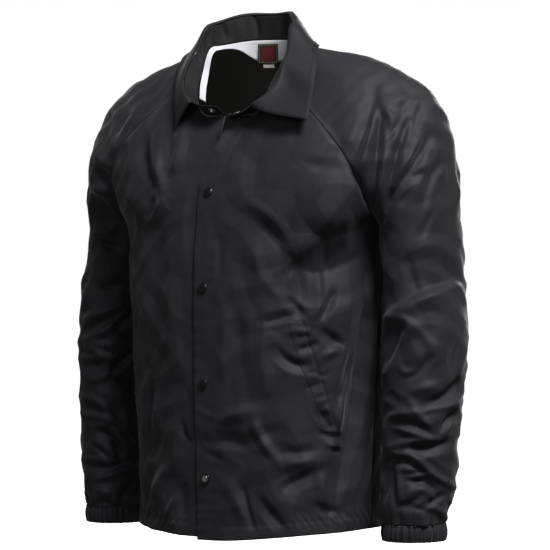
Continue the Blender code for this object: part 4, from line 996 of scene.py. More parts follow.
def front_heights(grid, normals, side):
    """Height of all creases and stitched lines of a front panel, given as a left grid."""
    turn = side_turn(side)
    girths = front_girths(grid)
    table = FRONT_LEFT_CREASES if side > 0 else FRONT_RIGHT_CREASES
    heights = photo_creases(grid * turn, normals * turn, table) * FRONT_CREASE_GAIN
    places = np.stack([side * girths, grid[..., 2]], axis=-1)
    heights += crease_heights(places, SIDE_CREASES, HIDDEN_CREST_ROUNDING)
    fade, ditch = seam_shape(edge_distances(grid), ["last_row", "last_column"])
    if side > 0:
        calm = smooth_step((girths - OVERLAP) / PLACKET_CREASE_FADE)
        calm = PLACKET_CREASE_SHARE + (1.0 - PLACKET_CREASE_SHARE) * calm
    else:
        calm = smooth_step((girths - OVERLAP) / UNDER_LAP_CREASE_FADE)
    heights = softened(heights, 1) * fade * calm
    heights += faceted(grid * turn, FRONT_FACETS) * fade * calm
    heights += hem_detail(grid, girths, 0.4 + side) * calm + pocket_puckers(girths, grid[..., 2])
    if side > 0:
        heights += placket_detail(grid, girths, 1.3)
    else:
        heights -= UNDER_LAP_DROP * (1.0 - smooth_step((girths - OVERLAP) / UNDER_LAP_REACH))
    return heights - ditch


def welt_wave(along):
    """The uneven wave of the puckers along a pocket."""
    return np.sin(2 * math.pi * along / POCKET_PUCKER_SPACING + 2.0 * np.sin(along * 60.0))


def pocket_puckers(girths, levels):
    """The slit of the pocket and the puckers that its stitching makes."""
    top, bottom = np.array(POCKET_TOP), np.array(POCKET_BOTTOM)
    line = bottom - top
    length = float(np.linalg.norm(line))
    along = ((girths - top[0]) * line[0] + (levels - top[1]) * line[1]) / length
    across = ((girths - top[0]) * line[1] - (levels - top[1]) * line[0]) / length
    begun = smooth_step((along + POCKET_END_REACH) / POCKET_END_FADE)
    inside = begun * (1.0 - smooth_step((along - length) / POCKET_END_FADE))
    slit = -SLIT_DEPTH * bell(across, SLIT_WIDTH) * inside
    beside = bell(across - POCKET_PUCKER_OFFSET, POCKET_PUCKER_REACH)
    return slit + POCKET_PUCKER_HEIGHT * welt_wave(along) * beside * inside


def back_girths(flat):
    """Girth of each point of the back grid, carried on from the side seams."""
    side_girth = front_girths(front_grid(0.0, 0.0))[:LOWER_ROWS, -1].mean()
    along = row_lengths(flat)
    middle = along[:, -1:] / 2
    from_middle = along - middle
    girths = np.where(from_middle <= 0, side_girth + middle + from_middle, -side_girth - middle + from_middle)
    return girths, side_girth


def back_heights(grid, girths):
    """Height of all creases and the stitched hem of the back panel."""
    places = np.stack([girths, grid[..., 2]], axis=-1)
    heights = crease_heights(places, BACK_CREASES, HIDDEN_CREST_ROUNDING)
    fade, ditch = seam_shape(edge_distances(grid), ["last_row", "first_column", "last_column"])
    heights = softened(heights, 1) * fade
    heights += faceted(grid, BACK_FACETS) * fade
    return heights + hem_detail(grid, girths, 2.2) - ditch


def sleeve_heights(grid, normals, cap_rows, side):
    """Height of all creases of a sleeve and of the gathers above its cuff, given as a left grid."""
    turn = side_turn(side)
    table = SLEEVE_LEFT_CREASES if side > 0 else SLEEVE_RIGHT_CREASES
    heights = photo_creases(grid * turn, normals * turn, table) * SLEEVE_CREASE_GAIN
    turns = np.tile(np.linspace(0.0, SLEEVE_GIRTH, grid.shape[1]), (grid.shape[0], 1))
    hidden = np.array(SLEEVE_HIDDEN_CREASES)
    hidden[:, 0:6:2] *= SLEEVE_GIRTH / 360.0
    places = np.stack([turns, grid[..., 2] + RIGHT_SLEEVE_CREASE_SHIFT * (side < 0)], axis=-1)
    heights += crease_heights(places, hidden, HIDDEN_CREST_ROUNDING)
    distances = edge_distances(grid)
    fade, ditch = seam_shape(distances, ["first_row"])
    open_fade, open_ditch = seam_shape(distances, ["first_column", "last_column"])
    reach = np.zeros((len(grid), 1))
    reach[cap_rows:, 0] = smooth_step((UNDERARM_LEVEL - grid[cap_rows:, 0, 2]) / UNDERARM_SEAM_FADE)
    fade = fade * (open_fade * (1 - reach) + reach)
    ditch = np.maximum(ditch, open_ditch * (1 - reach))
    heights = softened(heights, 1) * fade
    heights += faceted(grid * turn, SLEEVE_FACETS, SLEEVE_FACET_SIZE) * fade
    above_cuff = grid[..., 2] - CUFF_TOP_LEVEL
    angles = np.linspace(0.0, 2 * math.pi, grid.shape[1])
    uneven = 1.4 * np.sin(angles * 5.0 + side) + 0.9 * np.sin(angles * 9.0)
    gathers = np.cos(angles * 20.0 + uneven) * 0.6 + np.cos(angles * 13.0 - uneven) * 0.5
    heights += GATHER_HEIGHT * gathers[None, :] * bell(above_cuff, GATHER_REACH)
    heights[cap_rows:, -1] = heights[cap_rows:, 0]
    return heights - ditch


def neck_line(fronts, sleeve, back):
    """The neck seam from the left front edge round the back to the right front edge."""
    left, right = fronts[1][-1], mirrored(fronts[-1][-1])
    ridge = sleeve[0]
    return np.concatenate([left[:-1], ridge[:-1], back[-1][:-1], mirrored(ridge[::-1])[:-1], right[::-1]])


def stand_frame(line, shares):
    """Neck points with the upward and inward ways of the collar stand at each."""
    base = resampled(line, shares)
    along = unit(np.gradient(base, axis=0))
    outward = unit(np.cross(along, [0.0, 0.0, 1.0]))
    upward = []
    heights = []
    for share, out in zip(shares, outward):
        height, lean = read_table(STAND, abs(share - 0.5) * 2)
        left_end = max(0.0, 1.0 - share / LEFT_END_SHARE)
        lean += LEFT_END_EXTRA_LEAN * float(smooth_step(left_end))
        left_side = min(max(0.5 - share, 0.0) * 2 / LEFT_SIDE_SHARE, 1.0)
        lean = math.radians(lean - LEFT_SIDE_LESS_LEAN * math.sin(math.pi * left_side) ** 2)
        upward.append(out * math.sin(lean) + np.array([0.0, 0.0, math.cos(lean)]))
        heights.append(height)
    upward = unit(upward)
    inward = unit(np.cross(upward, along))
    return base, upward, inward, np.array(heights)


def smoothed_columns(grid, times):
    """Points averaged with their neighbours along the rows, the ends kept."""
    for _ in range(times):
        grid[:, 1:-1] = grid[:, 1:-1] * 0.5 + (grid[:, :-2] + grid[:, 2:]) * 0.25
    return grid


def stand_grid(line):
    """The collar stand, from the neck seam up to the roll line, with its puckers."""
    shares = np.linspace(0.0, 1.0, STAND_COLUMNS + 1)
    base, upward, inward, heights = stand_frame(line, shares)
    base = base + inward * LAY_GAP
    rise = np.linspace(0.0, 1.0, STAND_ROWS + 1)[:, None, None]
    lift = LAY_GAP + rise * (heights[:, None] - LAY_GAP * 2.5)
    grid = smoothed_columns(base + upward * lift, COLLAR_SMOOTHING)
    normals = grid_normals(grid)
    places, to_camera = photo_place(grid)
    inner_seen = smooth_step((-(normals @ to_camera) + 0.1) / 0.3)
    heights = crease_heights(places, STAND_PUCKERS, 1.0) * inner_seen * STAND_CREASE_GAIN
    ends = np.minimum(shares, 1 - shares)
    heights *= smooth_step((ends - STAND_SMOOTH_END) / STAND_END_FADE)[None, :]
    return raised(grid, normals, heights)


def leaf_grid(line, surface):
    """The collar leaf, from the roll line out and down over the shoulders, held clear of the panels."""
    low, high = (1 - LEAF_START) / 2, (1 + LEAF_START) / 2
    shares = np.linspace(low, high, LEAF_COLUMNS + 1)
    base, upward, inward, heights = stand_frame(line, shares)
    top = base + inward * LAY_GAP + upward * (heights[:, None] + SEAM_GAP)
    rows = []
    for k, share in enumerate(shares):
        reach = abs(share - 0.5) * 2 / LEAF_START
        table = LEFT_LEAF_EDGE if share < 0.5 else RIGHT_LEAF_EDGE
        edge = read_table(table, reach)
        start = top[k] + upward[k] * ROLL_RADIUS - inward[k] * ROLL_RADIUS
        down = unit(edge - start)
        turn = arc(top[k], upward[k], start, -inward[k], np.linspace(0.0, 1.0, 6))
        fall = arc(start, unit(down - inward[k] * 0.7), edge, down, np.linspace(0.0, 1.0, LEAF_ROWS)[1:])
        rows.append(np.concatenate([turn, fall]))
    grid = smoothed_columns(np.array(rows).transpose(1, 0, 2), COLLAR_SMOOTHING)
    grid = lifted(grid, surface, COLLAR_CLOTH + LEAF_CLEARANCE)
    normals = grid_normals(grid)
    heights = photo_creases(grid, normals, LEAF_CREASES)
    distances = edge_distances(grid)
    edge = np.minimum(np.minimum(distances["last_row"], distances["first_column"]), distances["last_column"])
    heights += faceted(grid, LEAF_FACETS) - LEAF_STITCH_DEPTH * bell(edge - COLLAR_STITCH_DEPTH, 0.0016)
    return lifted(raised(grid, normals, heights), surface, COLLAR_CLOTH + LEAF_LEAST_CLEARANCE)


def lifted(grid, surface, clearance):
    """Grid points moved out where they lie less than the clearance above the panels."""
    moved = grid.copy()
    for index in np.ndindex(grid.shape[:2]):
        point = Vector(grid[index])
        place, normal, _, _ = surface.find_nearest(point)
        height = (point - place).dot(normal)
        if height < clearance:
            moved[index] = place + normal * clearance
    return moved


def surface_of(grids, step=3):
    """A search tree over outward-facing panels, each thinned to every few points."""
    points, faces = [], []
    for grid, outward in grids:
        row_picks = sorted(set(range(0, grid.shape[0], step)) | {grid.shape[0] - 1})
        column_picks = sorted(set(range(0, grid.shape[1], step)) | {grid.shape[1] - 1})
        thin = grid[np.ix_(row_picks, column_picks)]
        rows, columns = thin.shape[:2]
        first = len(points)
        points += [Vector(p) for p in thin.reshape(-1, 3)]
        for i in range(rows - 1):
            for j in range(columns - 1):
                a = first + i * columns + j
                face = (a, a + 1, a + columns + 1, a + columns)
                faces.append(face if outward else face[::-1])
    return BVHTree.FromPolygons(points, faces)


def cuff_grid(side):
    """The gathered casing of a cuff, as a closed left ring with uneven small waves all round."""
    centre_x, centre_y, half_width, half_depth = read_table(SLEEVE, CUFF_TOP_LEVEL)
    angles = np.linspace(0.0, 2 * math.pi, CUFF_GATHERS * POINTS_PER_GATHER + 1)
    uneven = 1.6 * np.sin(angles * 5.0 + side) + 1.1 * np.sin(angles * 8.0)
    rows = []
    for share in np.linspace(0.0, 1.0, CUFF_ROWS):
        level = CUFF_TOP_LEVEL + share * (CUFF_EDGE_LEVEL - CUFF_TOP_LEVEL)
        belly = math.sin(math.pi * share)
        stitch = bell(share - 0.12, 0.06) + bell(share - 0.88, 0.06)
        swell = CUFF_SWELL * belly - CUFF_STITCH_DIP * stitch
        wave = CUFF_WAVE * np.cos(CUFF_GATHERS * angles + uneven + 0.5 * share) + swell
        wave += CUFF_CROSS_WAVE * np.cos(17 * angles - uneven)
        x = centre_x - (half_width + wave) * np.cos(angles)
        y = centre_y - (half_depth + wave) * np.sin(angles)
        rows.append(np.stack([x, y, np.full_like(x, level)], axis=1))
    grid = np.array(rows)
    grid[:, -1] = grid[:, 0]
    return grid


def on_grid(grid, girth, level):
    """A point of a left front grid at this girth and level."""
    girths = front_girths(grid)
    levels = grid[:LOWER_ROWS, :, 2].mean(axis=1)
    row = int(np.clip(np.searchsorted(levels, level) - 1, 0, LOWER_ROWS - 2))
    share = (level - levels[row]) / (levels[row + 1] - levels[row])
    low, high = (read_line(grid[k], girths[k], girth) for k in (row, row + 1))
    return low * (1 - share) + high * share


def welt_grid(grid):
    """The pocket welt, a puckered strip that lies on the left front beside the slanted mouth."""
    parts = np.linspace(1.0, 0.0, WELT_COLUMNS)
    rows = []
    for share in np.linspace(0.0, 1.0, WELT_ROWS):
        mouth_girth = POCKET_TOP[0] + share * (POCKET_BOTTOM[0] - POCKET_TOP[0])
        level = POCKET_TOP[1] + share * (POCKET_BOTTOM[1] - POCKET_TOP[1])
        rows.append([on_grid(grid, mouth_girth - WELT_WIDTH * part, level) for part in parts])
    flat = np.array(rows)[::-1]
    along = np.linspace(1.0, 0.0, WELT_ROWS)[:, None] * WELT_LENGTH
    across = parts[None, :]
    puckers = WELT_SWELL * (1.0 - across**2) + WELT_PUCKER_HEIGHT * welt_wave(along) * (1.0 - across)
    return raised(flat, grid_normals(flat), WELT_LIFT - WELT_EDGE_FALL * across**3 + puckers)


def turned(name, profile, place, direction, steps=48):
    """A solid of revolution from a profile of (radius, height), standing on a point along a direction."""
    points, faces, previous = [], [], None
    for radius, height in profile:
        first = len(points)
        if radius < 1e-6:
            points.append((0.0, 0.0, height))
            ring = [first]
        else:
            for k in range(steps):
                turn = 2 * math.pi * k / steps
                points.append((radius * math.cos(turn), radius * math.sin(turn), height))
            ring = list(range(first, first + steps))
        if previous is not None:
            for k in range(steps):
                corners = [
                    previous[k % len(previous)],
                    previous[(k + 1) % len(previous)],
                    ring[(k + 1) % len(ring)],
                    ring[k % len(ring)],
                ]
                faces.append(list(dict.fromkeys(corners)))
        previous = ring
    turn = Vector(direction).to_track_quat("Z", "Y").to_matrix()
    placed = [turn @ Vector(p) + Vector(place) for p in points]
    return add_mesh(name, placed, faces)


def add_mesh(name, points, faces, uvs=None):
    """A smooth mesh object of these points and faces, with a cloth map in metres where one is given."""
    mesh = bpy.data.meshes.new(name)
    mesh.from_pydata([tuple(p) for p in points], [], faces)
    if uvs is not None:
        layer = mesh.uv_layers.new(name="cloth")
        loops = np.zeros(len(mesh.loops), int)
        mesh.loops.foreach_get("vertex_index", loops)
        layer.data.foreach_set("uv", np.asarray(uvs)[loops].reshape(-1))
    mesh.shade_smooth()
    piece = bpy.data.objects.new(name, mesh)
    bpy.context.scene.collection.objects.link(piece)
    return piece


def add_wall(name, grid, thickness, normals, closed_from=None):
    """A thin cloth wall with the grid as its outer face. Rows from closed_from on are closed rings.

    Its inner face takes the second material."""
    rows, columns = grid.shape[:2]
    flipped = (grid_normals(grid) * normals).sum() < 0
    inner = grid - normals * thickness
    points = np.concatenate([grid.reshape(-1, 3), inner.reshape(-1, 3)])
    uvs = np.stack([row_lengths(grid), column_lengths(grid)], axis=-1).reshape(-1, 2)
    uvs = np.tile(uvs, (2, 1))
    ids = np.arange(rows * columns).reshape(rows, columns)
    if closed_from is not None:
        ids[closed_from:, -1] = ids[closed_from:, 0]
    quads = np.stack([ids[:-1, :-1], ids[:-1, 1:], ids[1:, 1:], ids[1:, :-1]], axis=-1).reshape(-1, 4)
    faces = []
    for quad in quads.tolist():
        unique = list(dict.fromkeys(quad))
        faces.append(unique[::-1] if flipped else unique)
    edges = {(face[k - 1], face[k]) for face in faces for k in range(len(face))}
    behind = rows * columns
    rims = [(b, a, a + behind, b + behind) for a, b in sorted(edges) if (b, a) not in edges]
    backs = [[corner + behind for corner in face[::-1]] for face in faces]
    every = faces + backs + rims
    used = sorted({corner for face in every for corner in face})
    place = {corner: k for k, corner in enumerate(used)}
    wall = add_mesh(name, points[used], [[place[corner] for corner in face] for face in every], uvs[used])
    sides = np.zeros(len(every), int)
    sides[len(faces) : len(faces) + len(backs)] = 1
    wall.data.polygons.foreach_set("material_index", sides)
    smooth = np.ones(len(every), bool)
    smooth[len(faces) + len(backs) :] = False
    wall.data.polygons.foreach_set("use_smooth", smooth)
    return wall


STITCH_FACES = [
    # corners of the foot, the shoulders and the crown of one thread dash
    (0, 1, 5, 4), (2, 3, 7, 6), (1, 2, 6, 9, 5), (3, 0, 4, 8, 7), (4, 5, 9, 8), (8, 9, 6, 7), (3, 2, 1, 0),
]


def stitches(name, lines, pitch, width):
    """Thread dashes along lines of (points, normals), each a small raised box that sits on the cloth."""
    points, faces = [], []
    for line, normals in lines:
        along = lengths_along(line)
        for start in np.arange(pitch * 0.5, along[-1] - pitch, pitch):
            ends = [start, start + pitch * 0.68]
            a, b = read_line(line, along, ends)
            up = unit(read_line(normals, along, start))
            side = unit(np.cross(b - a, up)) * width / 2
            first = len(points)
            middle = (a + b) / 2 + up * width * 0.8
            for rise, spread in ((up * -0.0002, side), (up * width * 0.55, side * 0.4)):
                points += [a + rise - spread, a + rise + spread, b + rise + spread, b + rise - spread]
            points += [middle - side * 0.5, middle + side * 0.5]
            faces += [[first + k for k in face] for face in STITCH_FACES]
    return add_mesh(name, points, faces)


def line_at(grid, distances, wanted):
    """Points and normals where each row of a grid reaches a distance along the cloth."""
    normals = grid_normals(grid)
    points, outs = [], []
    for row in range(grid.shape[0]):
        order = np.argsort(distances[row])
        points.append(read_line(grid[row, order], distances[row][order], wanted))
        outs.append(read_line(normals[row, order], distances[row][order], wanted))
    return np.array(points), unit(outs)


def facing_grid(line):
    """The light band that hangs inside from the neck seam, from one front round the back to the other."""
    shares = np.linspace(FACING_ENDS[0], FACING_ENDS[1], FACING_COLUMNS)
    base = resampled(line, shares)
    along = unit(np.gradient(base, axis=0))
    inward = -unit(np.cross(along, [0.0, 0.0, 1.0]))
    band = []
    for share, start, way in zip(shares, base, inward):
        reach = abs(share - 0.5) * 2
        depth, lean = read_table(FACING, reach)
        lean = math.radians(min(lean, NEAR_FACING_LEAN) if share < 0.5 else lean)
        run = way * math.sin(lean) - np.array([0.0, 0.0, math.cos(lean)])
        band.append([start + way * FACING_LIFT + run * d for d in np.linspace(LAY_GAP, depth, FACING_ROWS)])
    return smoothed_columns(np.array(band).transpose(1, 0, 2), FACING_SMOOTHING)


def hung_patch(surface, middle, width, levels, lift):
    """A small patch stitched in at its top edge, inside the back neck, that hangs straight down."""
    rows = []
    for level in np.linspace(levels[0], levels[1], PATCH_ROWS):
        row = []
        for x in np.linspace(middle - width / 2, middle + width / 2, PATCH_COLUMNS):
            place, _, _, _ = surface.ray_cast(Vector((x, 0.0, levels[0])), Vector((0.0, 1.0, 0.0)))
            row.append((x, place.y - lift, level))
        rows.append(row)
    return np.array(rows)


def tab_below(label):
    """The small tab that hangs from behind the lower edge of the label."""
    middle = label[0, :, 0].mean()
    row = label[0].copy()
    row[:, 0] = middle + (row[:, 0] - middle) * TAB_SHARE
    row[:, 1] = np.interp(row[:, 0], label[0, :, 0], label[0, :, 1]) + LABEL_CLOTH + LAY_GAP
    levels = np.linspace(TAB_LEVELS[0], TAB_LEVELS[1], TAB_ROWS)
    return np.array([np.column_stack([row[:, :2], np.full(len(row), level)]) for level in levels])


def new_material(name):
    """A material with its node tree and shader."""
    material = bpy.data.materials.new(name)
    material.use_nodes = True
    tree = material.node_tree
    return material, tree, tree.nodes["Principled BSDF"]


def feed(tree, node, inputs):
    """Gives each named input of a node its value, or links it to a socket."""
    for key, term in inputs.items():
        if isinstance(term, bpy.types.NodeSocket):
            tree.links.new(term, node.inputs[key])
        else:
            node.inputs[key].default_value = term


def add_node(tree, kind, inputs=None, **settings):
    """A node with its settings and its inputs, each a value or a socket."""
    node = tree.nodes.new(kind)
    for key, value in settings.items():
        setattr(node, key, value)
    feed(tree, node, inputs or {})
    return node


def calc(tree, operation, *terms):
    """The result of a math node on sockets and plain numbers."""
    return add_node(tree, "ShaderNodeMath", dict(enumerate(terms)), operation=operation).outputs[0]


def object_place(tree):
    """The place of each point on its object."""
    return add_node(tree, "ShaderNodeTexCoord").outputs["Object"]


def noise(tree, scale, detail, **settings):
    """A noise pattern fixed to the object."""
    inputs = {"Vector": object_place(tree), "Scale": scale, "Detail": detail}
    return add_node(tree, "ShaderNodeTexNoise", inputs, **settings).outputs["Fac"]


def colour_ramp(tree, source, low, high, stops=(0.0, 1.0)):
    """A colour that goes from low to high as its source goes from one stop to the other."""
    node = add_node(tree, "ShaderNodeValToRGB", {"Fac": source})
    for element, colour, stop in zip(node.color_ramp.elements, (low, high), stops):
        element.position = stop
        element.color = (*colour, 1.0)
    return node.outputs["Color"]


def map_range(tree, source, low, high, stops=(0.0, 1.0)):
    """A value that goes from low to high as its source goes from one stop to the other."""
    inputs = {"Value": source, "From Min": stops[0], "From Max": stops[1], "To Min": low, "To Max": high}
    return add_node(tree, "ShaderNodeMapRange", inputs).outputs["Result"]


def blended(tree, share, first, second):
    """A colour between two, each a plain colour or a socket."""
    inputs = {"Fac": share, "Color1": first, "Color2": second}
    return add_node(tree, "ShaderNodeMixRGB", inputs).outputs["Color"]


def weave_bump(tree, per_metre, strength, crinkle_scale, crinkle_strength):
    """A normal from a fine over-and-under weave and small crinkles, in metres of cloth."""
    cloth = add_node(tree, "ShaderNodeUVMap", uv_map="cloth")
    parts = add_node(tree, "ShaderNodeSeparateXYZ", {"Vector": cloth.outputs["UV"]})
    waves = []
    for axis in ("X", "Y"):
        waves.append(calc(tree, "SINE", calc(tree, "MULTIPLY", parts.outputs[axis], per_metre * 2 * math.pi)))
    inputs = {"Strength": strength, "Distance": WEAVE_HEIGHT, "Height": calc(tree, "MULTIPLY", *waves)}
    weave = add_node(tree, "ShaderNodeBump", inputs)
    crinkle = noise(tree, crinkle_scale, 3.0, noise_type="RIDGED_MULTIFRACTAL")
    inputs = {"Strength": crinkle_strength, "Distance": CRINKLE_HEIGHT, "Height": crinkle}
    inputs["Normal"] = weave.outputs["Normal"]
    return add_node(tree, "ShaderNodeBump", inputs).outputs["Normal"]


def nylon_material(name, low, high, gloss_low, gloss_high, sheen, painted_glow):
    """Black plain-woven nylon: a soft sheen, a fine weave and uneven crinkles."""
    material, tree, shader = new_material(name)
    patches = noise(tree, 9.0, 3.0)
    inputs = {
        "Base Color": colour_ramp(tree, patches, low, high, (0.3, 0.75)),
        "Roughness": map_range(tree, patches, gloss_low, gloss_high),
        "Normal": weave_bump(tree, NYLON_THREADS, 0.15, 32.0, 0.22),
        "Sheen Weight": sheen,
        "Sheen Roughness": 0.45,
        "IOR": 1.42,
        # The emission is a painted glow, not a lamp; only the inside's finish gives it any strength.
        "Emission Color": (*low, 1.0),
        "Emission Strength": painted_glow,
    }
    feed(tree, shader, inputs)
    return material


def cloth_material(name, dark, light, roughness, per_metre):
    """Plain matt woven cloth between two close colours."""
    material, tree, shader = new_material(name)
    inputs = {
        "Base Color": colour_ramp(tree, noise(tree, 60.0, 4.0), dark, light),
        "Normal": weave_bump(tree, per_metre, 0.25, 150.0, 0.06),
        "Roughness": roughness,
        "Sheen Weight": 0.15,
    }
    feed(tree, shader, inputs)
    return material


def metal_material(name, colour, roughness, metallic, coat):
    """Snap metal or its black finish, with faint scuffs."""
    material, tree, shader = new_material(name)
    inputs = {
        "Base Color": (*colour, 1.0),
        "Roughness": map_range(tree, noise(tree, 700.0, 5.0), roughness * 0.8, roughness * 1.3),
        "Metallic": metallic,
        "Coat Weight": coat,
    }
    feed(tree, shader, inputs)
    return material


def label_material(width, levels, middle):
    """A woven black label with a thin gold border and a plain dark red field."""
    material, tree, shader = new_material("label")
    parts = add_node(tree, "ShaderNodeSeparateXYZ", {"Vector": object_place(tree)})
    centre_level = (levels[0] + levels[1]) / 2
    height = abs(levels[0] - levels[1])

    def inside(across, up):
        """1 inside a box that reaches these shares of the label's size from its middle, else 0."""
        past = []
        for axis, centre, half in (("X", middle, width * across), ("Z", centre_level, height * up)):
            away = calc(tree, "ABSOLUTE", calc(tree, "SUBTRACT", parts.outputs[axis], centre))
            past.append(calc(tree, "SUBTRACT", away, half))
        return calc(tree, "LESS_THAN", calc(tree, "MAXIMUM", *past), 0.0)

    border = calc(tree, "SUBTRACT", inside(0.465, 0.455), inside(0.425, 0.405))
    ground = blended(tree, border, (0.010, 0.009, 0.009, 1.0), (0.13, 0.10, 0.06, 1.0))
    inputs = {
        "Base Color": blended(tree, inside(0.33, 0.34), ground, (0.11, 0.0065, 0.0095, 1.0)),
        "Normal": weave_bump(tree, 1600.0, 0.3, 200.0, 0.05),
        "Roughness": 0.6,
    }
    feed(tree, shader, inputs)
    return material


FINISHES = {
    # name: darkest colour, lightest colour, least and most roughness, sheen, strength of a painted glow that
    # stands in for light
    "nylon": ((0.017, 0.017, 0.0215), (0.022, 0.022, 0.0275), 0.60, 0.70, 0.12, 0.0),
    # The collar leaf's nylon is the body's cloth made darker, with less sheen: painted shade.
    "nylon_collar_painted_shade": ((0.0085, 0.0085, 0.011), (0.0115, 0.0115, 0.0145), 0.62, 0.72, 0.10, 0.0),
    # The stand's nylon is the same cloth made darker still, with little sheen: painted shade of the inside of
    # the neck.
    "nylon_stand_painted_shade": ((0.0045, 0.0045, 0.0058), (0.0062, 0.0062, 0.0078), 0.68, 0.78, 0.05, 0.0),
    # The inner side's own dark olive tone, with a faint painted glow that stands in for light in the shaded
    # interior.
    "nylon_inside_painted_glow": ((0.020, 0.020, 0.017), (0.026, 0.026, 0.022), 0.72, 0.80, 0.10, 0.25),
}
NYLON, NYLON_COLLAR_PAINTED_SHADE, NYLON_STAND_PAINTED_SHADE, NYLON_INSIDE_PAINTED_GLOW = (
    nylon_material(name, *look) for name, look in FINISHES.items()
)
THREAD = cloth_material("black_thread", (0.010, 0.010, 0.012), (0.020, 0.020, 0.024), 0.55, 2000.0)
FACING_WHITE = cloth_material("facing_cloth", (0.72, 0.72, 0.77), (0.82, 0.82, 0.86), 0.85, 1100.0)
TAB = cloth_material("tab_tape", (0.70, 0.62, 0.62), (0.80, 0.74, 0.73), 0.8, 1600.0)
LABEL = label_material(LABEL_WIDTH, LABEL_LEVELS, LABEL_MIDDLE)
SNAP_BLACK = metal_material("snap_black", (0.012, 0.012, 0.013), 0.18, 0.4, 0.5)
SNAP_STEEL = metal_material("snap_steel", (0.72, 0.71, 0.69), 0.20, 1.0, 0.0)


SIDES = ((1, "left"), (-1, "right"))
SEES_INSIDE = ("front", "back", "sleeve", "cuff")


def finished(piece, material, nodes=(), cut=None):
    """The piece with its material, riding on the jacket in place of CAD nodes."""
    piece.data.materials.append(material)
    # Inner faces of panels, sleeves and cuffs take the inside nylon with its painted glow.
    piece.data.materials.append(NYLON_INSIDE_PAINTED_GLOW if cut in SEES_INSIDE else material)
    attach(piece, "root")
    if nodes:
        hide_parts(*nodes)
    return piece


def share_seams(front, back, sleeve, cap_rows, side):
    """Gives edges that meet at a seam the same normals, so that they move together."""
    turn = side_turn(side)
    column = 0 if side > 0 else -1
    front[:LOWER_ROWS, -1] = [1.0, 0.0, 0.0]
    back[:LOWER_ROWS, column] = turn * [1.0, 0.0, 0.0]
    shared = unit(front[LOWER_ROWS:, -1] + sleeve[:cap_rows, 0][::-1])
    front[LOWER_ROWS:, -1] = shared
    sleeve[:cap_rows, 0] = shared[::-1]
    shared = unit(back[LOWER_ROWS:, column] * turn + sleeve[:cap_rows, -1][::-1])
    back[LOWER_ROWS:, column] = shared * turn
    sleeve[:cap_rows, -1] = shared[::-1]


def sheet_piece(node, grid, thickness, facing, material, cut, side=1):
    """A cloth wall in place of a CAD node, from a left grid whose normals face out with 1 and in with -1."""
    turn = side_turn(side)
    wall = add_wall(f"{node}_cloth", grid * turn, thickness, grid_normals(grid) * facing * turn)
    finished(wall, material, [node], cut)


def make_jacket():
    """Every visible piece of the jacket."""
    flat_fronts = {1: front_grid(LEFT_OPENING, LEFT_LAPEL_ROLL), -1: front_grid(RIGHT_OPENING, 0.0)}
    back_flat = back_grid()
    girths, side_girth = back_girths(back_flat)
    back = hem_curved(back_flat, np.abs(girths), side_girth, 0.0)
    back_out = grid_normals(back)
    fronts, sleeves, outs, flat_sleeves = {}, {}, {}, {}
    for side, _ in SIDES:
        front = curved_front(flat_fronts[side], side)
        front_out = grid_normals(front)
        sleeve, cap_rows = sleeve_grid(RIGHT_SHOULDER_DROP * (side < 0))
        sleeve_out = -ring_normals(sleeve, cap_rows)
        share_seams(front_out, back_out, sleeve_out, cap_rows, side)
        fronts[side] = raised(front, front_out, front_heights(front, front_out, side))
        sleeves[side] = raised(sleeve, sleeve_out, sleeve_heights(sleeve, sleeve_out, cap_rows, side))
        outs[side] = front_out, sleeve_out
        flat_sleeves[side] = sleeve
    back = raised(back, back_out, back_heights(back, girths))

    panels = [(f"front_{name}", fronts[side], outs[side][0], side) for side, name in SIDES]
    for name, grid, normals, side in (*panels, ("back", back, back_out, 1)):
        turn = side_turn(side)
        panel = add_wall(f"{name}_cloth", grid * turn, CLOTH, normals * turn)
        finished(panel, NYLON, [name], name.split("_")[0])
    for side, name in SIDES:
        turn = side_turn(side)
        panel = add_wall(f"sleeve_{name}_cloth", sleeves[side] * turn, CLOTH, outs[side][1] * turn, cap_rows)
        finished(panel, NYLON, [f"sleeve_{name}"], "sleeve")
        cuff = cuff_grid(side)
        casing = add_wall(f"cuff_{name}_cloth", cuff * turn, CUFF_CLOTH, -ring_normals(cuff, 0) * turn, 0)
        finished(casing, NYLON, [f"cuff_{name}"], "cuff")

    line = neck_line(flat_fronts, flat_sleeves[1], back_flat)
    stand = stand_grid(line)
    # The stand takes the nylon darkened with painted shade.
    sheet_piece("collar_stand", stand, COLLAR_CLOTH, 1, NYLON_STAND_PAINTED_SHADE, "collar_stand")
    under = [(fronts[1], True), (mirrored(fronts[-1]), False), (back, True)]
    under += [(sleeves[1], False), (mirrored(sleeves[-1]), True)]
    leaf = leaf_grid(line, surface_of(under))
    # The leaf takes the nylon darkened with painted shade.
    sheet_piece("collar_leaf", leaf, COLLAR_CLOTH, 1, NYLON_COLLAR_PAINTED_SHADE, "collar_leaf")
    for side, name in SIDES:
        welt = welt_grid(fronts[side])
        sheet_piece(f"welt_{name}", welt, WELT_CLOTH, 1, NYLON, "welt", side)
    facing = facing_grid(line)
    sheet_piece("neck_facing", facing, FACING_CLOTH, -1, FACING_WHITE, "facing")
    label = hung_patch(surface_of([(facing, False)]), LABEL_MIDDLE, LABEL_WIDTH, LABEL_LEVELS, LABEL_LIFT)
    sheet_piece("neck_label", label, LABEL_CLOTH, -1, LABEL, "label")
    sheet_piece("size_tab", tab_below(label), LABEL_CLOTH, -1, TAB, "tab")
    make_snaps(fronts[1], stand)
    make_stitching(fronts[1], fronts[-1], back, leaf)


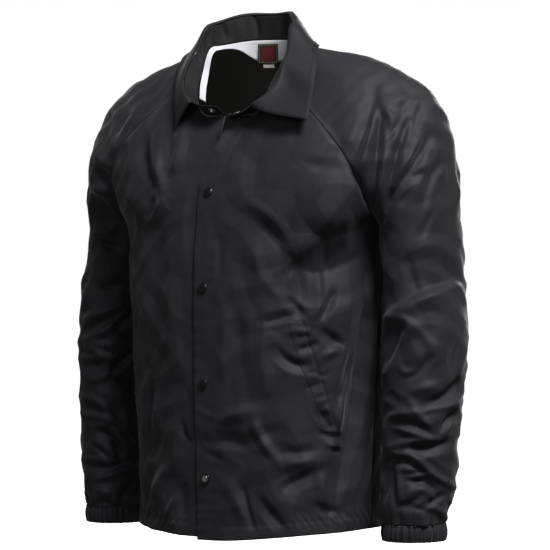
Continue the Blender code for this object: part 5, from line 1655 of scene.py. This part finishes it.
def make_snaps(left, stand):
    """Closed snaps down the front edge, and the two halves of the open one on the ends of the stand."""
    edge, lap = left[:, 0], left[:, LAP_POINTS // 2]
    for k in range(CLOSED_SNAPS):
        level = FIRST_CLOSED_SNAP_LEVEL - k * SNAP_PITCH
        middle = read_line(lap, lap[:, 2], level)
        above = read_line(lap, lap[:, 2], level + 0.01)
        outward = unit(np.cross(middle - read_line(edge, edge[:, 2], level), above - middle))
        place = middle + outward * SNAP_LIFT
        number = k + 1
        cap = turned(f"snap_cap_{number}_dome", CAP_PROFILE, place, outward)
        finished(cap, SNAP_BLACK, [f"snap_cap_{number}"])
        if number == CLOSED_SNAPS:
            bare = turned("snap_cap_4_centre", CENTRE_PROFILE, place, outward)
            finished(bare, SNAP_STEEL)
    middle_line = stand[STAND_ROWS // 2]
    along = lengths_along(middle_line)
    for node, profile, distance, facing, material, slot in (
        ("snap_socket", SOCKET_PROFILE, OVERLAP, 1, SNAP_STEEL, "snap_steel"),
        ("snap_stud", STUD_PROFILE, along[-1] - OVERLAP, -1, SNAP_STEEL, "snap_steel"),
        ("snap_cap_0", CAP_PROFILE, OVERLAP, -1, SNAP_BLACK, "snap_black"),
    ):
        upper, lower = read_line(stand[-1], along, distance), read_line(stand[0], along, distance)
        before, ahead = read_line(middle_line, along, [distance - 0.004, distance + 0.004])
        outward = unit(np.cross(upper - lower, ahead - before)) * facing
        lift = COLLAR_CLOTH + SNAP_LIFT if facing > 0 else SNAP_LIFT
        place = (upper + lower) / 2 + outward * lift
        finished(turned(f"{node}_turned", profile, place, outward), material, [node])


def make_stitching(left, right, back, leaf):
    """Lines of black thread along placket, hem and collar."""
    lines = [line_at(left, front_girths(left) + OVERLAP, PLACKET_WIDTH)]
    for grid, side in ((left, 1), (right, -1), (back, 1)):
        above = grid[..., 2] - grid[:1, :, 2]
        points, outs = line_at(grid.transpose(1, 0, 2), above.T, HEM_DEPTH)
        lines.append((points * side_turn(side), -outs * side_turn(side)))
    finished(stitches("stitching_body", lines, BODY_STITCH_PITCH, BODY_THREAD_WIDTH), THREAD)
    distances = edge_distances(leaf)
    points, outs = line_at(leaf.transpose(1, 0, 2), -distances["last_row"].T, -COLLAR_STITCH_DEPTH)
    lines = [(points, -outs)]
    for key in ("first_column", "last_column"):
        points, outs = line_at(leaf, distances[key], COLLAR_STITCH_DEPTH)
        lines.append((points[6:-6], outs[6:-6]))
    finished(stitches("stitching_collar", lines, COLLAR_STITCH_PITCH, COLLAR_THREAD_WIDTH), THREAD)


make_jacket()


def light_panel(name, azimuth, elevation, distance, width, height, power):
    """A soft light round the jacket, aimed at its middle."""
    lamp = bpy.data.lights.new(name, "AREA")
    lamp.shape = "RECTANGLE"
    lamp.size = width
    lamp.size_y = height
    lamp.energy = power
    holder = bpy.data.objects.new(name, lamp)
    bpy.context.scene.collection.objects.link(holder)
    a, e = math.radians(azimuth), math.radians(elevation)
    back = Vector((math.sin(a) * math.cos(e), -math.cos(a) * math.cos(e), math.sin(e)))
    holder.location = Vector(LIGHT_AIM) + back * distance
    holder.rotation_mode = "QUATERNION"
    holder.rotation_quaternion = back.to_track_quat("Z", "Y")


def make_studio():
    """The light round the jacket, the pale floor and the bright space behind it."""
    scene = bpy.context.scene
    scene.view_settings.view_transform = "Standard"
    scene.view_settings.look = "None"
    world = bpy.data.worlds.new("studio")
    scene.world = world
    world.use_nodes = True
    tree = world.node_tree
    turn = math.radians(CAMERA_AZIMUTH)
    way = add_node(tree, "ShaderNodeTexCoord").outputs["Generated"]
    ahead = (-math.sin(turn), math.cos(turn), 0.0)
    toward = add_node(tree, "ShaderNodeVectorMath", {0: way, 1: ahead}, operation="DOT_PRODUCT")
    level = map_range(tree, toward.outputs["Value"], 0.09, 1.05, (0.84, 0.95))
    feed(tree, tree.nodes["Background"], {"Strength": level, "Color": WHITE})
    for light in LIGHTS:
        light_panel(*light)

    half = FLOOR_HALF_SIZE
    corners = [(x, y, FLOOR_LEVEL) for x, y in ((-half, -half), (half, -half), (half, half), (-half, half))]
    floor = add_mesh("studio_floor", corners, [(0, 1, 2, 3)])
    material, tree, shader = new_material("floor_paint")
    away = add_node(tree, "ShaderNodeVectorMath", {0: object_place(tree)}, operation="LENGTH")
    inputs = {
        "Base Color": colour_ramp(tree, noise(tree, 3.0, 3.0), (0.80, 0.80, 0.80), (0.84, 0.84, 0.84)),
        "Roughness": 0.9,
        "Emission Strength": map_range(tree, away.outputs["Value"], 0.15, 1.0, (1.3, 1.9)),
        "Emission Color": WHITE,
    }
    feed(tree, shader, inputs)
    floor.data.materials.append(material)
    floor.visible_diffuse = False
    floor.visible_glossy = False

    steps = np.linspace(0.0, math.pi / 2, DOME_RINGS)
    profile = [(DOME_RADIUS * math.cos(t), DOME_RADIUS * math.sin(t)) for t in steps]
    dome = turned("studio_backdrop", profile, (0.0, 0.0, FLOOR_LEVEL), (0.0, 0.0, 1.0))
    material, tree, shader = new_material("backdrop_paint")
    inputs = {"Base Color": (0.0, 0.0, 0.0, 1.0), "Emission Color": WHITE, "Emission Strength": 1.0}
    feed(tree, shader, inputs)
    dome.data.materials.append(material)
    dome.visible_diffuse = False
    dome.visible_glossy = False
    dome.visible_shadow = False


def make_camera():
    """The camera at the photo's place, with its centre moved to the photo's."""
    scene = bpy.context.scene
    camera = bpy.data.cameras.new("photo_camera")
    camera.sensor_width = 36.0
    camera.lens = FOCAL_PX / PHOTO_SIZE * camera.sensor_width
    camera.clip_end = 200.0
    holder = bpy.data.objects.new("photo_camera", camera)
    scene.collection.objects.link(holder)
    turn = math.radians(CAMERA_AZIMUTH)
    half = PHOTO_SIZE / 2
    holder.location = (CAMERA_DISTANCE * math.sin(turn), -CAMERA_DISTANCE * math.cos(turn), CAMERA_LEVEL)
    tilt = math.atan((half - HORIZON_PX) / FOCAL_PX)
    swing = math.atan((half - AXIS_PX) / FOCAL_PX)
    holder.rotation_euler = (math.pi / 2 - tilt, 0.0, turn - swing)
    scene.camera = holder


make_studio()
make_camera()
